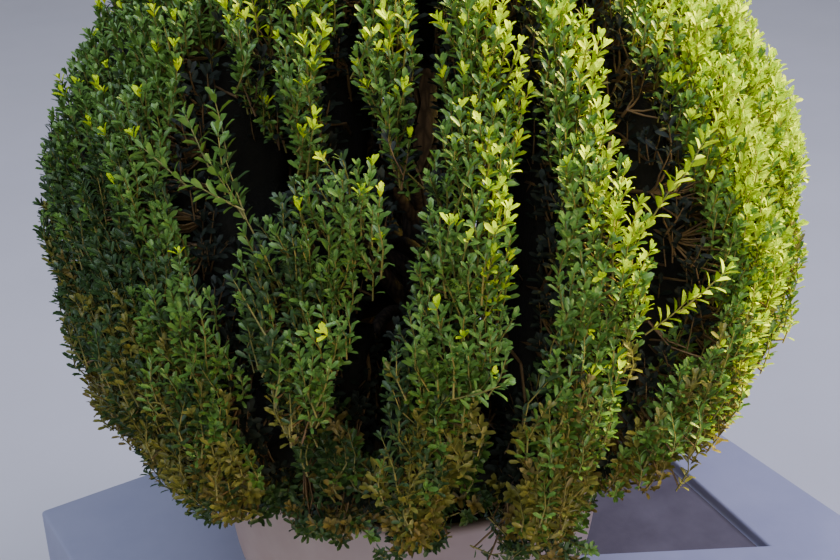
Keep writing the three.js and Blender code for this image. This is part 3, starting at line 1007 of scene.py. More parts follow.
@dataclass
class Grower:
    """Sets the shoots of a mass. Spacings are in metres, and places in degrees."""

    outer_spacing: float = 0.0148
    inner_spacing: float = 0.0250
    wall_spacing: float = 0.0300
    skirt_spacing: float = 0.9
    round_off: float = 0.02
    edge_inset: float = 0.8
    widest_inset: float = 0.15
    widest_wall_inset: float = 0.26
    skirt_overlap: float = 1.5
    # A lumpy surface: how deep its hollows are, how close, and how much of it is hollow.
    lump_depth: float = 0.045
    lumps_per_metre: float = 17.0
    lump_level: float = 0.35
    lump_gain: float = 1.6
    # How the lower end of a rib and of a hanging sprig rounds off: over what, and how deep.
    rib_end: tuple[float, float] = (5.0, 0.05)
    sprig_end: tuple[float, float] = (9.0, 0.12)
    # How far shoots lean out of the upright, more so below the ball's middle, and how the
    # lowest ones turn out from foot_latitude down.
    lean: float = 0.28
    lean_below: float = 1.7
    lean_aside: float = 0.65
    foot_latitude: float = -28.0
    foot_height: float = 10.0
    foot_sink: float = 0.6
    foot_ease: float = 0.9
    spread: float = 0.22
    wall_spread: float = 0.25
    widest_spread: float = 1.8
    # Where the tips of the outer layer and of the one behind it lie, as shares of the reach.
    surface: float = 0.98
    surface_scatter: float = 0.01
    surface_limits: tuple[float, float] = (0.94, 0.99)
    inner_layer: tuple[float, float] = (0.84, 0.91)
    wall_layers: tuple[float, ...] = (0.62, 0.70, 0.78, 0.84, 0.90)
    sizes: tuple[float, float] = (0.85, 1.15)
    wall_sizes: tuple[float, float] = (0.8, 1.15)
    # Depths, which decide the painted shade in the leaves' colours: in the shade of ribs, in a
    # hollow, behind the surface.
    shaded_depth: float = 0.5
    hollow_depth: float = 0.3
    inner_depth: float = 0.6
    side_from: float = 0.6
    # From where a low shoot arches up, and over how many degrees all of them come to.
    arch_latitude: float = 22.0
    arch_height: float = 26.0
    # Where the underside is fuller or cut in: longitude, half its width, share of the radius.
    swells: tuple[tuple[float, float, float], ...] = (
        (-78, 42, 0.03), (-24, 8.5, -0.045), (-12, 4, -0.065), (9, 7.5, -0.115), (12, 3, -0.04),
        (26, 5, 0.045), (48, 18, -0.055), (72, 44, -0.085),
    )
    swell_latitude: float = -16.0
    swell_height: float = 12.0
    # Where a clipped face stops short of its border, or goes on past it: the middle latitude,
    # half the height, and by how many degrees at its left and right.
    trims: dict[str, tuple[float, float, float, float]] = field(default_factory=lambda: {
        "left": (32, 20, 0.0, 3.4),
        "right": (22, 22, 4.5, 0.0),
        "right_middle": (13, 11, 0.0, -2.0),
    })

    def swell(self, longitude: np.ndarray, latitude: np.ndarray) -> np.ndarray:
        """Find by what factor the underside is fuller or cut in.

        Args:
            longitude: places round the ball.
            latitude: their latitudes.

        Returns:
            A factor for each place.
        """
        low = np.clip((self.swell_latitude - latitude) / self.swell_height, 0, 1)
        change = np.zeros_like(longitude)
        for middle, half, amount in self.swells:
            away = np.abs((longitude - middle + 180) % 360 - 180) / half
            change = change + amount * np.clip(1 - away**4, 0, 1)
        return 1 + low * change

    def rows(
        self, mass: Mass, spacing: float, rng: np.random.Generator
    ) -> tuple[np.ndarray, np.ndarray]:
        """Spread places evenly over the outside of a mass.

        Args:
            mass: the mass of foliage.
            spacing: the distance between neighbours in metres.
            rng: the random generator.

        Returns:
            Places across, from -1 to 1, and latitudes.
        """
        step = math.degrees(spacing / BALL.radius)
        across, latitudes = [], []
        for row in np.arange(mass.bottom + 0.4 * step, mass.top, step):
            left, right = mass.borders(row)
            width = math.radians(right - left) * BALL.radius * math.cos(math.radians(row))
            count = int(width / spacing + rng.random())
            if count == 0:
                continue
            places = (np.arange(count) + 0.5 + rng.uniform(-0.42, 0.42, count)) / count
            across.append(2 * places - 1)
            latitudes.append(row + step * rng.uniform(-0.45, 0.45, count))
        latitude = np.clip(np.concatenate(latitudes), mass.bottom, mass.top)
        return np.concatenate(across), latitude

    def shares(self, mass: Mass, across: np.ndarray, latitude: np.ndarray) -> np.ndarray:
        """Find how far out the leafy surface is: a rib rounds off to its edges and its end.

        Args:
            mass: the mass of foliage.
            across: places across it, from -1 to 1.
            latitude: their latitudes.

        Returns:
            Shares of the ball's radius.
        """
        share = mass.outer(latitude)
        if mass.kind is not Kind.CROWN:
            share = share * (1 - self.round_off * np.abs(across) ** 3)
        height, deep = self.sprig_end if mass.hangs else self.rib_end
        low = np.clip((latitude - mass.bottom) / height, 0, 1)
        return share * (1 - deep * (1 - low) ** 2)

    def axes(
        self, longitude: np.ndarray, latitude: np.ndarray, aside: np.ndarray, spread: float,
        rng: np.random.Generator,
    ) -> np.ndarray:
        """Find the shoots' directions: up along the ball's side and a little out of it.

        Args:
            longitude: places round the ball.
            latitude: their latitudes.
            aside: how far each shoot leans towards growing longitude.
            spread: how far directions scatter.
            rng: the random generator.

        Returns:
            Unit vectors, one a row.
        """
        out = BALL.outward(longitude, latitude)
        below = np.maximum(0, -out[:, 2:])
        under = np.clip((self.foot_latitude - latitude) / self.foot_height, 0, 1)[:, None]
        ways = UP * (1 - self.foot_sink * under)
        ways = ways + out * (self.lean + (self.lean_below - self.foot_ease * under) * below)
        ways = ways + BALL.eastward(longitude) * aside[:, None]
        stray = rng.normal(0, spread, out.shape)
        most = self.widest_spread * spread
        return unit(ways + np.clip(stray, -most, most))

    def grow(self, mass: Mass) -> list[Shoots]:
        """Grow the shoots of a mass.

        Args:
            mass: the mass of foliage.

        Returns:
            Its upright, arched, inner and side shoots.
        """
        rng = np.random.default_rng(SEED + mass.seed)
        outer = self.cover(mass, rng, True)
        low = np.clip((self.arch_latitude - outer.latitude) / self.arch_height, 0, 1)
        arched = rng.random(len(outer.tips)) < low
        grown = [
            outer.part(ShootKind.UPRIGHT, ~arched),
            outer.part(ShootKind.ARCHED, arched),
            self.cover(mass, rng, False),
        ]
        if mass.kind is not Kind.CROWN:
            grown.append(self.sides(mass, rng))
        return grown

    def lumps(self, points: np.ndarray) -> np.ndarray:
        """Return how deep each point lies in the hollows of a lumpy surface, from 0 to 1."""
        rough = [noise.noise(Vector(point * self.lumps_per_metre)) for point in points]
        return np.clip(self.lump_level + self.lump_gain * np.array(rough), 0, 1)

    def cover(self, mass: Mass, rng: np.random.Generator, outer: bool) -> Shoots:
        """Grow the shoots of the clipped surface, or of the layer behind it.

        Args:
            mass: the mass of foliage.
            rng: the random generator.
            outer: whether it is the clipped surface.

        Returns:
            The shoots.
        """
        spacing = self.outer_spacing if outer else self.inner_spacing
        spacing = spacing * (self.skirt_spacing if mass.kind is Kind.SKIRT else 1.0)
        across, latitude = self.rows(mass, spacing, rng)
        whole = mass.kind is Kind.CROWN
        left, right = mass.borders(latitude)
        inset = np.minimum(self.edge_inset, self.widest_inset * (right - left))
        if mass.kind in (Kind.CROWN, Kind.SKIRT):
            inset = np.full_like(left, 0.0 if whole else -self.skirt_overlap)
        middle, half, more_left, more_right = self.trims.get(mass.name, (0.0, 1.0, 0.0, 0.0))
        window = np.clip(1 - ((latitude - middle) / half) ** 4, 0, 1)
        left, right = left + more_left * window, right - more_right * window
        longitude = left + inset + (right - left - 2 * inset) * (across + 1) / 2
        share = self.shares(mass, across, latitude) * self.swell(longitude, latitude)
        hollow = self.lumps(BALL.at(longitude, latitude, np.ones_like(share)))
        if outer:
            scatter = rng.normal(0, self.surface_scatter, len(share))
            share = share * np.clip(self.surface + scatter, *self.surface_limits)
            share = share - self.lump_depth * hollow
        else:
            share = share * rng.uniform(*self.inner_layer, len(share))
        points = BALL.at(longitude, latitude, share)
        aside = np.zeros_like(across) if whole else self.lean_aside * across * np.abs(across)
        axes = self.axes(longitude, latitude, aside, self.spread, rng)
        sizes = rng.uniform(*self.sizes, len(across))
        side = 0.5 * across if not whole else 0 * across
        facing = unit(BALL.outward(longitude, latitude) + BALL.eastward(longitude) * side[:, None])
        beside = (np.abs(across) > self.side_from) & (not whole)
        shaded = self.shaded_depth if mass.kind in (Kind.FILL, Kind.SKIRT) else 0.0
        # Deeper sprays are painted darker: painted shade in the hollows, behind the surface and
        # beside the clefts.
        depth = (
            shaded + self.hollow_depth * hollow if outer
            else np.where(beside, 1.0, self.inner_depth)
        )
        return Shoots(ShootKind.INNER, points, axes, sizes, facing, latitude, depth)

    def sides(self, mass: Mass, rng: np.random.Generator) -> Shoots:
        """Grow the shoots that line the clefts on both sides of a mass.

        Args:
            mass: the mass of foliage.
            rng: the random generator.

        Returns:
            The shoots, denser towards the surface.
        """
        step = math.degrees(self.wall_spacing / BALL.radius)
        latitude, share, hand = [], [], []
        for side in (-1, 1):
            for row in np.arange(mass.bottom + 0.3 * step, mass.top, step):
                for inner in self.wall_layers:
                    if rng.random() < 0.35 + 0.55 * (inner - 0.6) / 0.3:
                        latitude.append(row + step * rng.uniform(-0.5, 0.5))
                        share.append(inner + rng.uniform(-0.03, 0.03))
                        hand.append(side)
        latitude, share, hand = np.array(latitude), np.array(share), np.array(hand, float)
        latitude = np.clip(latitude, mass.bottom, mass.top)
        left, right = mass.borders(latitude)
        # Clefts are wide at the front, so shoots stand back from the border there.
        nearest, slope = (0.3, 1.5) if mass.behind else (1.6, 6.0)
        inset = rng.uniform(nearest, nearest + 1.6, len(hand)) + slope * (0.9 - share)
        inset = np.minimum(inset, self.widest_wall_inset * (right - left))
        longitude = np.where(hand < 0, left + inset, right - inset)
        # Shoots in the clefts take the darkest colour: painted shade.
        depth = np.ones(len(hand))
        share = share * mass.outer(latitude) * self.swell(longitude, latitude)
        points = BALL.at(longitude, latitude, share)
        axes = self.axes(longitude, latitude, 0.4 * hand, self.wall_spread, rng)
        facing = unit(
            BALL.outward(longitude, latitude) * 0.4 + BALL.eastward(longitude) * hand[:, None]
        )
        sizes = rng.uniform(*self.wall_sizes, len(hand))
        return Shoots(ShootKind.INNER, points, axes, sizes, facing, latitude, depth)


@dataclass(frozen=True)
class Stray:
    """A leafy stem that leans across a cleft.

    Its places run from foot to tip, start and end are shares of the radius, and depth decides its
    painted light and shade: the lower, the lighter its leaves are painted.
    """

    group: str
    places: tuple[tuple[float, float], ...]
    start: float = 0.93
    end: float = 0.985
    depth: float = -0.4


STRAYS = (
    Stray("middle", ((-24.1, 22.0), (-30.8, 23.8), (-35.5, 24.7), (-41.3, 26.5))),
    Stray("middle", ((-24.6, 21.0), (-31.0, 27.0), (-36.5, 32.0)), 0.92, 0.97, 0.2),
    Stray("middle", ((-24.6, 21.0), (-29.5, 28.0), (-33.5, 35.0)), 0.91, 0.95, 0.4),
    Stray("middle", ((-24.8, 20.2), (-29.0, 25.5), (-30.5, 31.0)), 0.9, 0.96, 0.1),
    Stray("right", ((33.1, 20.3), (36.8, 23.8), (42.6, 27.6))),
    Stray("right", ((34.4, 4.9), (42.0, 10.7)), 0.9),
    Stray("middle", ((5.0, 1.5), (9.3, 3.7)), 0.95, 1.0),
)


@dataclass
class Foliage:
    """All leaves, twigs and near black cores of painted shade, gathered by group and shade."""

    masses: list[Mass]
    limbs: Limbs
    sun: np.ndarray = field(default_factory=lambda: np.array([0.0, 0.0, 1.0]))
    core_inner: float = 0.53
    core_outer: float = 0.80
    front_margin: float = 5.5
    back_margin: float = 2.0
    # How far a core goes on below and above its mass, to meet the next one's, and how far
    # a skirt's goes down towards the bowl.
    core_overrun: float = 1.5
    skirt_overrun: float = 9.0
    core_lumps_per_metre: float = 55.0
    core_lump_height: float = 0.012
    # Twigs: the radius in metres at the start and the end of a stem, a fork and a shoot's foot.
    stem_radii: tuple[float, float] = (0.0036, 0.0026)
    fork_radii: tuple[float, float] = (0.0026, 0.0016)
    foot_radii: tuple[float, float] = (0.0015, 0.001)
    fork_spacing: float = 0.036
    fork_shares: tuple[float, float] = (0.72, 0.8)
    spine_share: float = 0.62
    # Painted light and shade in the leaves' colours: how lit a spray has to be for the painted
    # sunlit green, how dim for the painted deep green, and the depths from which it lies behind the
    # surface and inside a cleft, and is painted darker.
    sunlit: float = 0.36
    unlit: float = -0.6
    behind_surface: float = 0.75
    in_cleft: float = 0.95
    olive_share: float = 0.85
    bronze_share: float = 0.25

    def __post_init__(self) -> None:
        """Prepare the shoots and the batches."""
        self.library = ShootLibrary(SEED)
        self.random = np.random.default_rng(SEED + 7)
        self.leaves: dict[tuple[str, Shade], Batch] = {}
        self.twigs: dict[tuple[str, bool], Batch] = {}

    @staticmethod
    def group(mass: Mass) -> str:
        """Say which part of the ball a mass belongs to.

        Args:
            mass: the mass of foliage.

        Returns:
            The group's name.
        """
        if mass.kind is Kind.CROWN:
            return "crown"
        if mass.kind in (Kind.SKIRT, Kind.FILL):
            return "low"
        middle = sum(mass.borders(20.0)) / 2
        if middle > 90:
            return "back_right" if middle < 180 else "back_left"
        return "left" if middle < -20 else "right" if middle > 20 else "middle"

    def shade_of(self, shoots: Shoots) -> tuple[np.ndarray, np.ndarray]:
        """Deal out the shades of old and young leaves, spray by spray: painted light where the key
        lamp falls, painted shade away from it and deep inside, and age low on the ball.

        Args:
            shoots: the sprays.

        Returns:
            Two arrays of places in the list of shades.
        """
        shades = list(Shade)
        at = {shade: place for place, shade in enumerate(shades)}
        count = len(shoots.tips)
        rng = self.random
        # How lit a spray is paints light and shade into its colour.
        lit = shoots.facing @ self.sun + rng.normal(0, 0.18, count) - 0.8 * shoots.depth
        low = np.clip((8 - shoots.latitude) / 32, 0, 1)
        high = np.clip((shoots.latitude + 5) / 40, 0, 1)
        # Painted light and shade: lit sprays are painted sunlit green, dim and deep ones darker.
        old = np.where(lit > self.sunlit, at[Shade.FRESH], at[Shade.GREEN])
        old = np.where(lit < self.unlit, at[Shade.DEEP], old)
        draw = rng.random(count)
        aged = self.olive_share * low * (shoots.depth < 0.5)
        old = np.where(draw < aged, at[Shade.OLIVE], old)
        old = np.where(draw < self.bronze_share * low * low, at[Shade.BRONZE], old)
        old = np.where(shoots.depth > self.behind_surface, at[Shade.DEEP], old)
        old = np.where(shoots.depth > self.in_cleft, at[Shade.NIGHT], old)
        draw = rng.random(count)
        # Young tips come more high on the ball, and more where the key lamp falls, as painted
        # light.
        young_and_lit_share = np.clip(0.05 + 0.35 * high + 0.75 * lit, 0, 1)
        young_and_lit_share = young_and_lit_share * (shoots.depth < self.behind_surface)
        young = np.where(draw < young_and_lit_share, at[Shade.YOUNG], old)
        young = np.where(draw < 0.5 * young_and_lit_share - 0.06, at[Shade.TIP], young)
        return old, young

    def place(self, group: str, shoots: Shoots) -> np.ndarray:
        """Set the leaves and twigs of a row of shoots into the batches.

        Args:
            group: the part of the ball that they belong to.
            shoots: the shoots, by their tips.

        Returns:
            The shoots' feet.
        """
        rng = self.random
        toward = unit(shoots.facing * 0.3 + UP)
        over = unit(toward - shoots.axes * np.sum(toward * shoots.axes, 1, keepdims=True))
        roll = rng.normal(0, 0.4, len(over))[:, None]
        over = over * np.cos(roll) + np.cross(shoots.axes, over) * np.sin(roll)
        across = np.cross(over, shoots.axes)
        frames = np.stack([across, over, shoots.axes], -1) * shoots.sizes[:, None, None]
        roots = shoots.tips.copy()
        old_shade, young_shade = self.shade_of(shoots)
        pick = rng.integers(0, ShootLibrary.VARIANTS, len(roots))
        shades = list(Shade)
        for variant in range(ShootLibrary.VARIANTS):
            template = self.library.shoots[shoots.kind][variant]
            mine = pick == variant
            if not mine.any():
                continue
            roots[mine] -= frames[mine] @ template.tip
            for blades, dealt in ((template.old, old_shade), (template.young, young_shade)):
                for number, shade in enumerate(shades):
                    chosen = mine & (dealt == number)
                    if not chosen.any():
                        continue
                    turned = np.einsum("nij,lpj->nlpi", frames[chosen], blades)
                    turned += roots[chosen][:, None, None]
                    batch = self.leaves.setdefault((group, shade), Batch(3))
                    batch.add(turned.reshape(-1, 7, 3), Leaf.FACES)
            inside = shoots.depth > self.in_cleft
            for young, chosen in ((True, mine & ~inside), (False, mine & inside)):
                if chosen.any():
                    turned = np.einsum("nij,pj->npi", frames[chosen], template.twig)
                    turned += roots[chosen][:, None]
                    self.twigs.setdefault((group, young), Batch(4)).add(turned, TWIG_FACES)
        return roots

    def branch_out(self, mass: Mass, roots: np.ndarray) -> None:
        """Lead twigs from the bough's tip along the mass and out to each shoot's foot.

        Args:
            mass: the mass of foliage.
            roots: the shoots' feet.
        """
        rng = np.random.default_rng(SEED + 200 + mass.seed)
        batch = self.twigs.setdefault((self.group(mass), False), Batch(4))
        steps = max(2, int((mass.top - mass.bottom) / 6))
        latitude = np.linspace(mass.bottom + 1, mass.top - 1, steps)
        left, right = mass.borders(latitude)
        if mass.kind is Kind.CROWN:
            longitude = rng.uniform(0, 360, steps)
        else:
            longitude = (left + right) / 2 + rng.normal(0, 0.08, steps) * (right - left)
        spine = BALL.at(longitude, latitude, self.spine_share * mass.outer(latitude))
        stem = BALL.at(*self.entry(mass), self.limbs.reach)
        self.join(batch, np.tile(stem, (len(spine), 1)), spine, *self.stem_radii, rng)
        grower = Grower()
        across, rows = grower.rows(mass, self.fork_spacing, rng)
        left, right = mass.borders(rows)
        places = left + (right - left) * (0.82 * across + 1) / 2
        reach = mass.outer(rows) * grower.swell(places, rows)
        forks = BALL.at(places, rows, rng.uniform(*self.fork_shares, len(rows)) * reach)
        nearest = np.argmin(np.linalg.norm(forks[:, None] - spine[None], axis=2), axis=1)
        self.join(batch, spine[nearest], forks, *self.fork_radii, rng)
        nearest = np.argmin(np.linalg.norm(roots[:, None] - forks[None], axis=2), axis=1)
        self.join(batch, forks[nearest], roots, *self.foot_radii, rng)

    def lead(self, stray: Stray) -> None:
        """Set shoots one behind another along a stray's places, so that they make one stem.

        Args:
            stray: the leafy stem.
        """
        rows, steps = np.array(stray.places), 12
        along = np.linspace(0, len(rows) - 1, steps + 1)
        at = np.arange(len(rows))
        longitude, latitude = (np.interp(along, at, rows[:, column]) for column in (0, 1))
        path = BALL.at(longitude, latitude, np.linspace(stray.start, stray.end, steps + 1))
        length = np.linalg.norm(np.diff(path, axis=0), axis=1).sum()
        count = max(1, round(length / ShootKind.STRAY.value.length))
        ends = (np.arange(1, count + 1) * steps / count).astype(int)
        ones = np.ones(count)
        shoots = Shoots(
            ShootKind.STRAY, path[ends], unit(path[ends] - path[ends - 2]), ones,
            BALL.outward(longitude[ends], latitude[ends]), latitude[ends], stray.depth * ones,
        )
        self.place(stray.group, shoots)

    def entry(self, mass: Mass) -> tuple[float, float]:
        """Find where a mass's bough comes in.

        Args:
            mass: the mass of foliage.

        Returns:
            The longitude and latitude.
        """
        if mass.kind is Kind.CROWN:
            return 0.0, 89.0
        left, right = mass.borders(mass.attach)
        return float(left + right) / 2, mass.attach

    @staticmethod
    def join(
        batch: Batch, starts: np.ndarray, ends: np.ndarray, low: float, high: float,
        rng: np.random.Generator,
    ) -> None:
        """Add bent three sided twigs between pairs of points, thinner to their ends.

        Args:
            batch: the batch that takes them.
            starts: where they start.
            ends: where they end.
            low: the radius at their starts.
            high: the radius at their ends.
            rng: the random generator.
        """
        middle = (starts + ends) / 2
        length = np.linalg.norm(ends - starts, axis=1, keepdims=True)
        middle = middle + rng.normal(0, 0.06, starts.shape) * length - UP * 0.06 * length
        rings = []
        tangent = unit(ends - starts + 1e-9)
        side = unit(np.cross(tangent, [0.31, 0.2, 0.93]))
        over = np.cross(tangent, side)
        for centre, radius in ((starts, low), (middle, (low + high) / 2), (ends, high)):
            for corner in range(3):
                turn = 2 * math.pi * corner / 3
                rings.append(centre + (side * math.cos(turn) + over * math.sin(turn)) * radius)
        batch.add(np.stack(rings, 1), TWIG_FACES)

    def core(self, mass: Mass) -> bmesh.types.BMesh:
        """Shape the near black shell inside a mass, painted shade for its shaded twigs: a cube cut
        fine and bent into its space.

        Args:
            mass: the mass of foliage.

        Returns:
            The tangle's bmesh.
        """
        shape = bmesh.new()
        bmesh.ops.create_cube(shape, size=2.0)
        for axis, cuts in enumerate((5, 4, max(3, int((mass.top - mass.bottom) / 3.5)))):
            edges = [
                edge for edge in shape.edges
                if abs((edge.verts[0].co - edge.verts[1].co)[axis]) > 1e-3
            ]
            bmesh.ops.subdivide_edges(shape, edges=edges, cuts=cuts, use_grid_fill=True)
        for vert in shape.verts:
            x, y, z = vert.co
            depth = (z + 1) / 2
            if mass.kind is Kind.CROWN:
                round_off = max(abs(x), abs(y)) / max(math.hypot(x, y), 1e-6)
                away = math.hypot(x, y) * round_off * (90 - mass.bottom - 1.0)
                longitude, latitude, across = math.degrees(math.atan2(y, x)), 90 - away, 0.0
            else:
                more = -1.0 if mass.hangs else self.core_overrun
                below = self.skirt_overrun if mass.kind is Kind.SKIRT else more
                latitude = mix(mass.bottom - below, mass.top + more, depth)
                left, right = (float(value) for value in mass.borders(latitude))
                margin = self.back_margin if mass.behind else self.front_margin
                margin = min(margin, 0.3 * (right - left))
                longitude = mix(left + margin, right - margin, (x + 1) / 2)
                across = x
            outer = float(mass.outer(latitude)) * (self.core_outer - 0.06 * across * across)
            level = depth if mass.kind is Kind.CROWN else (y + 1) / 2
            place = BALL.at(longitude, latitude, mix(self.core_inner, outer, level))
            bump = noise.noise(Vector(place) * self.core_lumps_per_metre)
            out = BALL.outward(longitude, latitude)
            vert.co = Vector(place + out * bump * self.core_lump_height * level)
        return shape

    def build(self) -> None:
        """Grow every mass, join what is alike and hand the pieces over."""
        grower = Grower()
        groups: dict[str, list[str]] = {}
        total = 0
        for mass in self.masses:
            groups.setdefault(self.group(mass), []).append(mass.node)
            roots = []
            for shoots in grower.grow(mass):
                roots.append(self.place(self.group(mass), shoots))
                total += len(shoots.tips)
            self.branch_out(mass, np.concatenate(roots))
        for stray in STRAYS:
            self.lead(stray)
        log.info("%d shoots", total)
        finishes = {shade: shade.value.build() for shade in Shade}
        for (group, shade), batch in self.leaves.items():
            piece = batch.piece(f"leaves_{group}_{shade.name.lower()}", finishes[shade])
            hand_over(piece, groups[group])
        stems = {True: GREEN_STEM.build(), False: BROWN_STEM.build()}
        for (group, young), batch in self.twigs.items():
            piece = batch.piece(f"{'shoots' if young else 'twigs'}_{group}", stems[young])
            hand_over(piece, groups[group])
        # Near black shells inside the masses stand for their shaded twigs: painted shade.
        dark = PAINTED_SHADE_CORE.build()
        for group, nodes in groups.items():
            joined = bmesh.new()
            for mass in self.masses:
                if mass.node in nodes:
                    part = bpy.data.meshes.new(mass.name)
                    shape = self.core(mass)
                    shape.to_mesh(part)
                    shape.free()
                    joined.from_mesh(part)
                    bpy.data.meshes.remove(part)
            piece = finish_bmesh(joined, f"tangle_{group}", dark, 180)
            hand_over(piece, nodes)


# Planter, bowl and soil


@dataclass
class Planter:
    """The square planter: a rendered block with a shallow tray sunk beside the bowl."""

    side: float = 0.900
    height: float = 0.350
    edge: float = 0.005
    tray_depth: float = 0.015
    tray_left: float = 0.100
    tray_back: float = 0.260
    tray_front: float = -0.134
    tray_slant: float = 0.55
    right_at_front: float = 0.322
    right_at_back: float = 0.366

    def tray_corner(self, x: float, y: float) -> tuple[float, float]:
        """Find the tray's corner on one side of the planter's top.

        Args:
            x: its sign says left or right.
            y: its sign says front or back.

        Returns:
            The corner's place.
        """
        right = self.right_at_back if y > 0 else self.right_at_front
        along = right if x > 0 else self.tray_left
        slant = self.tray_slant * (along - self.right_at_front)
        return along, self.tray_back if y > 0 else self.tray_front - slant

    def build(self) -> None:
        """Shape the block from a cube: inset its top, sink the tray, round the edges."""
        shape = bmesh.new()
        bmesh.ops.create_cube(shape, size=1.0)
        bmesh.ops.scale(shape, vec=(self.side, self.side, self.height), verts=shape.verts)
        bmesh.ops.translate(shape, vec=(0, 0, self.height / 2), verts=shape.verts)
        outer = list(shape.edges)
        top = max(shape.faces, key=lambda face: face.calc_center_median().z)
        bmesh.ops.inset_region(shape, faces=[top], thickness=0.1)
        rim = list(top.edges)
        for vert in top.verts:
            vert.co.x, vert.co.y = self.tray_corner(vert.co.x, vert.co.y)
        grown = bmesh.ops.extrude_discrete_faces(shape, faces=[top])["faces"][0]
        bmesh.ops.translate(shape, vec=(0, 0, -self.tray_depth), verts=list(grown.verts))
        edges = [edge for edge in set(outer + rim + list(grown.edges)) if edge.is_valid]
        bmesh.ops.bevel(
            shape, geom=edges, offset=self.edge, offset_type="OFFSET", affect="EDGES",
            segments=4, profile=0.5, material=-1, clamp_overlap=True,
        )
        piece = finish_bmesh(shape, "planter", RENDER.build(), 40)
        # The tray's floor takes the second, darker finish: painted shade under the ball.
        piece.data.materials.append(PAINTED_TRAY_SHADE.build())
        for face in piece.data.polygons:
            sunk = self.height - 0.6 * self.tray_depth > face.center.z > self.height / 2
            face.material_index = 1 if sunk and face.normal.z > 0.9 else 0
        slabs = [f"planter_top_{side}" for side in ("front", "right", "back", "left")]
        hand_over(piece, ["planter_block", *slabs])


@dataclass
class Bowl:
    """The round bowl, thrown in one curve from a narrow foot to a rounded lip."""

    floor: float = 0.3503
    lip_height: float = 0.604
    foot_radius: float = 0.160
    belly_radius: float = 0.222
    lip_radius: float = 0.226
    wall: float = 0.014
    soil_drop: float = 0.020
    sides: int = 96
    centre: tuple[float, float] = (-0.098, 0.068)

    def outline(self, steps: int) -> list[tuple[float, float]]:
        """Draw the outside from foot to lip, a smooth curve through five places.

        Args:
            steps: how many steps the curve has.

        Returns:
            Radius and height of each point.
        """
        height = self.lip_height - self.floor
        places = [
            (self.foot_radius, 0.0),
            (0.84 * self.belly_radius, 0.146 * height),
            (0.955 * self.belly_radius, 0.376 * height),
            (self.belly_radius, 0.726 * height),
            (self.lip_radius, height - 0.3 * self.wall),
        ]
        grown = [places[0], *places, places[-1]]
        points = []
        for step in range(steps + 1):
            at = step / steps * 4
            first = min(int(at), 3)
            share = at - first
            row = grown[first : first + 4]
            points.append(tuple(self.between([place[k] for place in row], share) for k in (0, 1)))
        return [(radius, self.floor + rise) for radius, rise in points]

    @staticmethod
    def between(values: list[float], share: float) -> float:
        """Find a value on the smooth curve between the second and third of four.

        Args:
            values: the four values.
            share: how far on from the second to the third.

        Returns:
            The value.
        """
        before, low, high, after = values
        start, end = (high - before) / 2, (after - low) / 2
        return (
            (2 * low - 2 * high + start + end) * share**3
            + (3 * high - 3 * low - 2 * start - end) * share**2
            + start * share
            + low
        )

    def spin(self, profile: list[tuple[float, float]], sides: int) -> bmesh.types.BMesh:
        """Turn a half outline about the bowl's upright axis into a closed body.

        Args:
            profile: radius and height of each point.
            sides: how many steps it turns in.

        Returns:
            The body's bmesh.
        """
        shape = bmesh.new()
        x, y = self.centre
        verts = [shape.verts.new((x + radius, y, height)) for radius, height in profile]
        edges = [shape.edges.new(pair) for pair in zip(verts, verts[1:])]
        bmesh.ops.spin(
            shape, geom=verts + edges, cent=(x, y, 0), axis=(0, 0, 1), angle=2 * math.pi,
            steps=sides, use_merge=True, use_duplicate=False,
        )
        bmesh.ops.remove_doubles(shape, verts=shape.verts, dist=1e-6)
        return shape

    def build(self) -> None:
        """Make the bowl and the compost in it."""
        outside = self.outline(24)
        curve = 0.3 * self.wall
        lip = [
            (self.lip_radius - curve, self.lip_height),
            (self.lip_radius - self.wall + curve, self.lip_height),
        ]
        inside = [(radius - self.wall, height) for radius, height in reversed(outside[2:])]
        profile = [(0, self.floor), *outside, *lip, *inside, (0, inside[-1][1])]
        shape = self.spin(profile, self.sides)
        piece = finish_bmesh(shape, "bowl_glazed", GLAZE.build(), 50)
        hand_over(piece, ["bowl"])
        self.build_soil(outside)

    def build_soil(self, outside: list[tuple[float, float]]) -> None:
        """Fill the bowl with compost whose top is a lumpy disc.

        Args:
            outside: the bowl's outside, as radius and height of each point.
        """
        level = self.lip_height - self.soil_drop
        gap = self.wall + 0.0003
        side = [(r - gap, z) for r, z in outside[3:] if z < level - self.wall]
        rings = [(side[-1][0] - 0.001) * (1 - ring / 22) for ring in range(22)]
        profile = [(0, side[0][1]), *side, *[(radius, level) for radius in rings], (0, level)]
        shape = self.spin(profile, self.sides)
        for vert in shape.verts:
            if vert.co.z > level - 1e-4 and len(vert.link_faces) > 1:
                away = math.hypot(vert.co.x - self.centre[0], vert.co.y - self.centre[1])
                if away < rings[1]:
                    lump = noise.noise(vert.co * 60) + 0.6 * noise.noise(vert.co * 150)
                    vert.co.z += 0.004 * lump - 0.002
        piece = finish_bmesh(shape, "compost", COMPOST.build(), 180)
        hand_over(piece, ["soil"])


# Studio


@dataclass(frozen=True)
class Lamp:
    """A square soft light that faces the ball: its direction, size in metres and watts."""

    name: str
    longitude: float
    elevation: float
    distance: float
    size: float
    power: float
    colour: str
    plant_only: bool = False

    def build(self, plant: bpy.types.Collection) -> None:
        """Set the light, for everything or for the plant alone.

        Args:
            plant: the pieces that a lamp for the plant alone lights.
        """
        lamp = bpy.data.lights.new(self.name, "AREA")
        lamp.size = self.size
        lamp.energy = self.power
        lamp.color = linear(self.colour)[:3]
        way = Vector(BALL.outward(self.longitude, self.elevation))
        made = bpy.data.objects.new(self.name, lamp)
        made.location = Vector(BALL.centre) + way * self.distance
        made.rotation_euler = way.to_track_quat("Z", "Y").to_euler()
        bpy.context.scene.collection.objects.link(made)
        if self.plant_only:
            made.light_linking.receiver_collection = plant


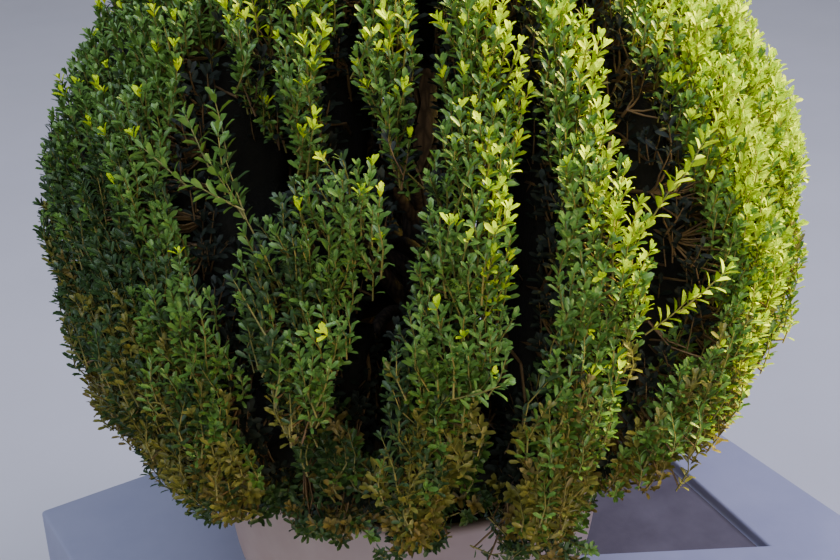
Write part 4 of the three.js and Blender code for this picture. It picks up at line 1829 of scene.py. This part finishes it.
# The plant stands in sun that comes in above the pots, which only the sky lights.
KEY = Lamp("key", 117, 38, 4.0, 1.4, 1330, "#fbe46a", True)
LAMPS = (
    KEY,
    Lamp("sky", 86, 58, 4.5, 3.0, 225, "#dadaff"),
    Lamp("fill", -40, 60, 4.5, 3.5, 150, "#d4deff"),
    Lamp("front", -4, 30, 4.5, 2.5, 74, "#fbf0e0", True),
    Lamp("low", 42, 0, 4.0, 1.2, 95, "#ffdca4", True),
)


@dataclass
class Studio:
    """Floor, soft lights and the camera at the photograph's angle."""

    distance: float = 1.4
    elevation: float = 25.0
    azimuth: float = -33.1
    pitch: float = 28.26
    yaw: float = -0.15
    lens: float = 55.54

    def build(self, plant: list[bpy.types.Object]) -> None:
        """Set the floor, the lights, the surroundings and the camera.

        Args:
            plant: the pieces of the plant without its pots.
        """
        shape = bmesh.new()
        bmesh.ops.create_grid(shape, x_segments=8, y_segments=8, size=9.0)
        floor = finish_bmesh(shape, "studio_floor", FLOOR.build(), 180)
        lit = bpy.data.collections.new("plant alone")
        for piece in plant:
            lit.objects.link(piece)
        for lamp in LAMPS:
            lamp.build(lit)
        world = bpy.data.worlds.new("studio")
        world.use_nodes = True
        back = world.node_tree.nodes["Background"]
        back.inputs["Color"].default_value = linear("#dfe6f5")
        back.inputs["Strength"].default_value = 0.2
        bpy.context.scene.world = world
        lens = bpy.data.cameras.new("camera")
        lens.lens = self.lens
        lens.sensor_width = 36.0
        camera = bpy.data.objects.new("camera", lens)
        camera.location = Vector(BALL.at(0, self.elevation, self.distance / BALL.radius))
        turn = self.azimuth - self.yaw
        camera.rotation_euler = Euler(
            (math.radians(90 - self.pitch), 0, math.radians(turn)), "XYZ"
        )
        bpy.context.scene.collection.objects.link(camera)
        bpy.context.scene.camera = camera


def main() -> None:
    """Build the object piece by piece, then the studio."""
    masses = all_masses()
    limbs = Limbs(masses=masses)
    Planter().build()
    Bowl().build()
    pots = set(bpy.context.scene.objects)
    limbs.build()
    Foliage(masses=masses, limbs=limbs, sun=BALL.outward(KEY.longitude, KEY.elevation)).build()
    Studio().build([piece for piece in bpy.context.scene.objects if piece not in pots])


if __name__ == "__main__":
    main()
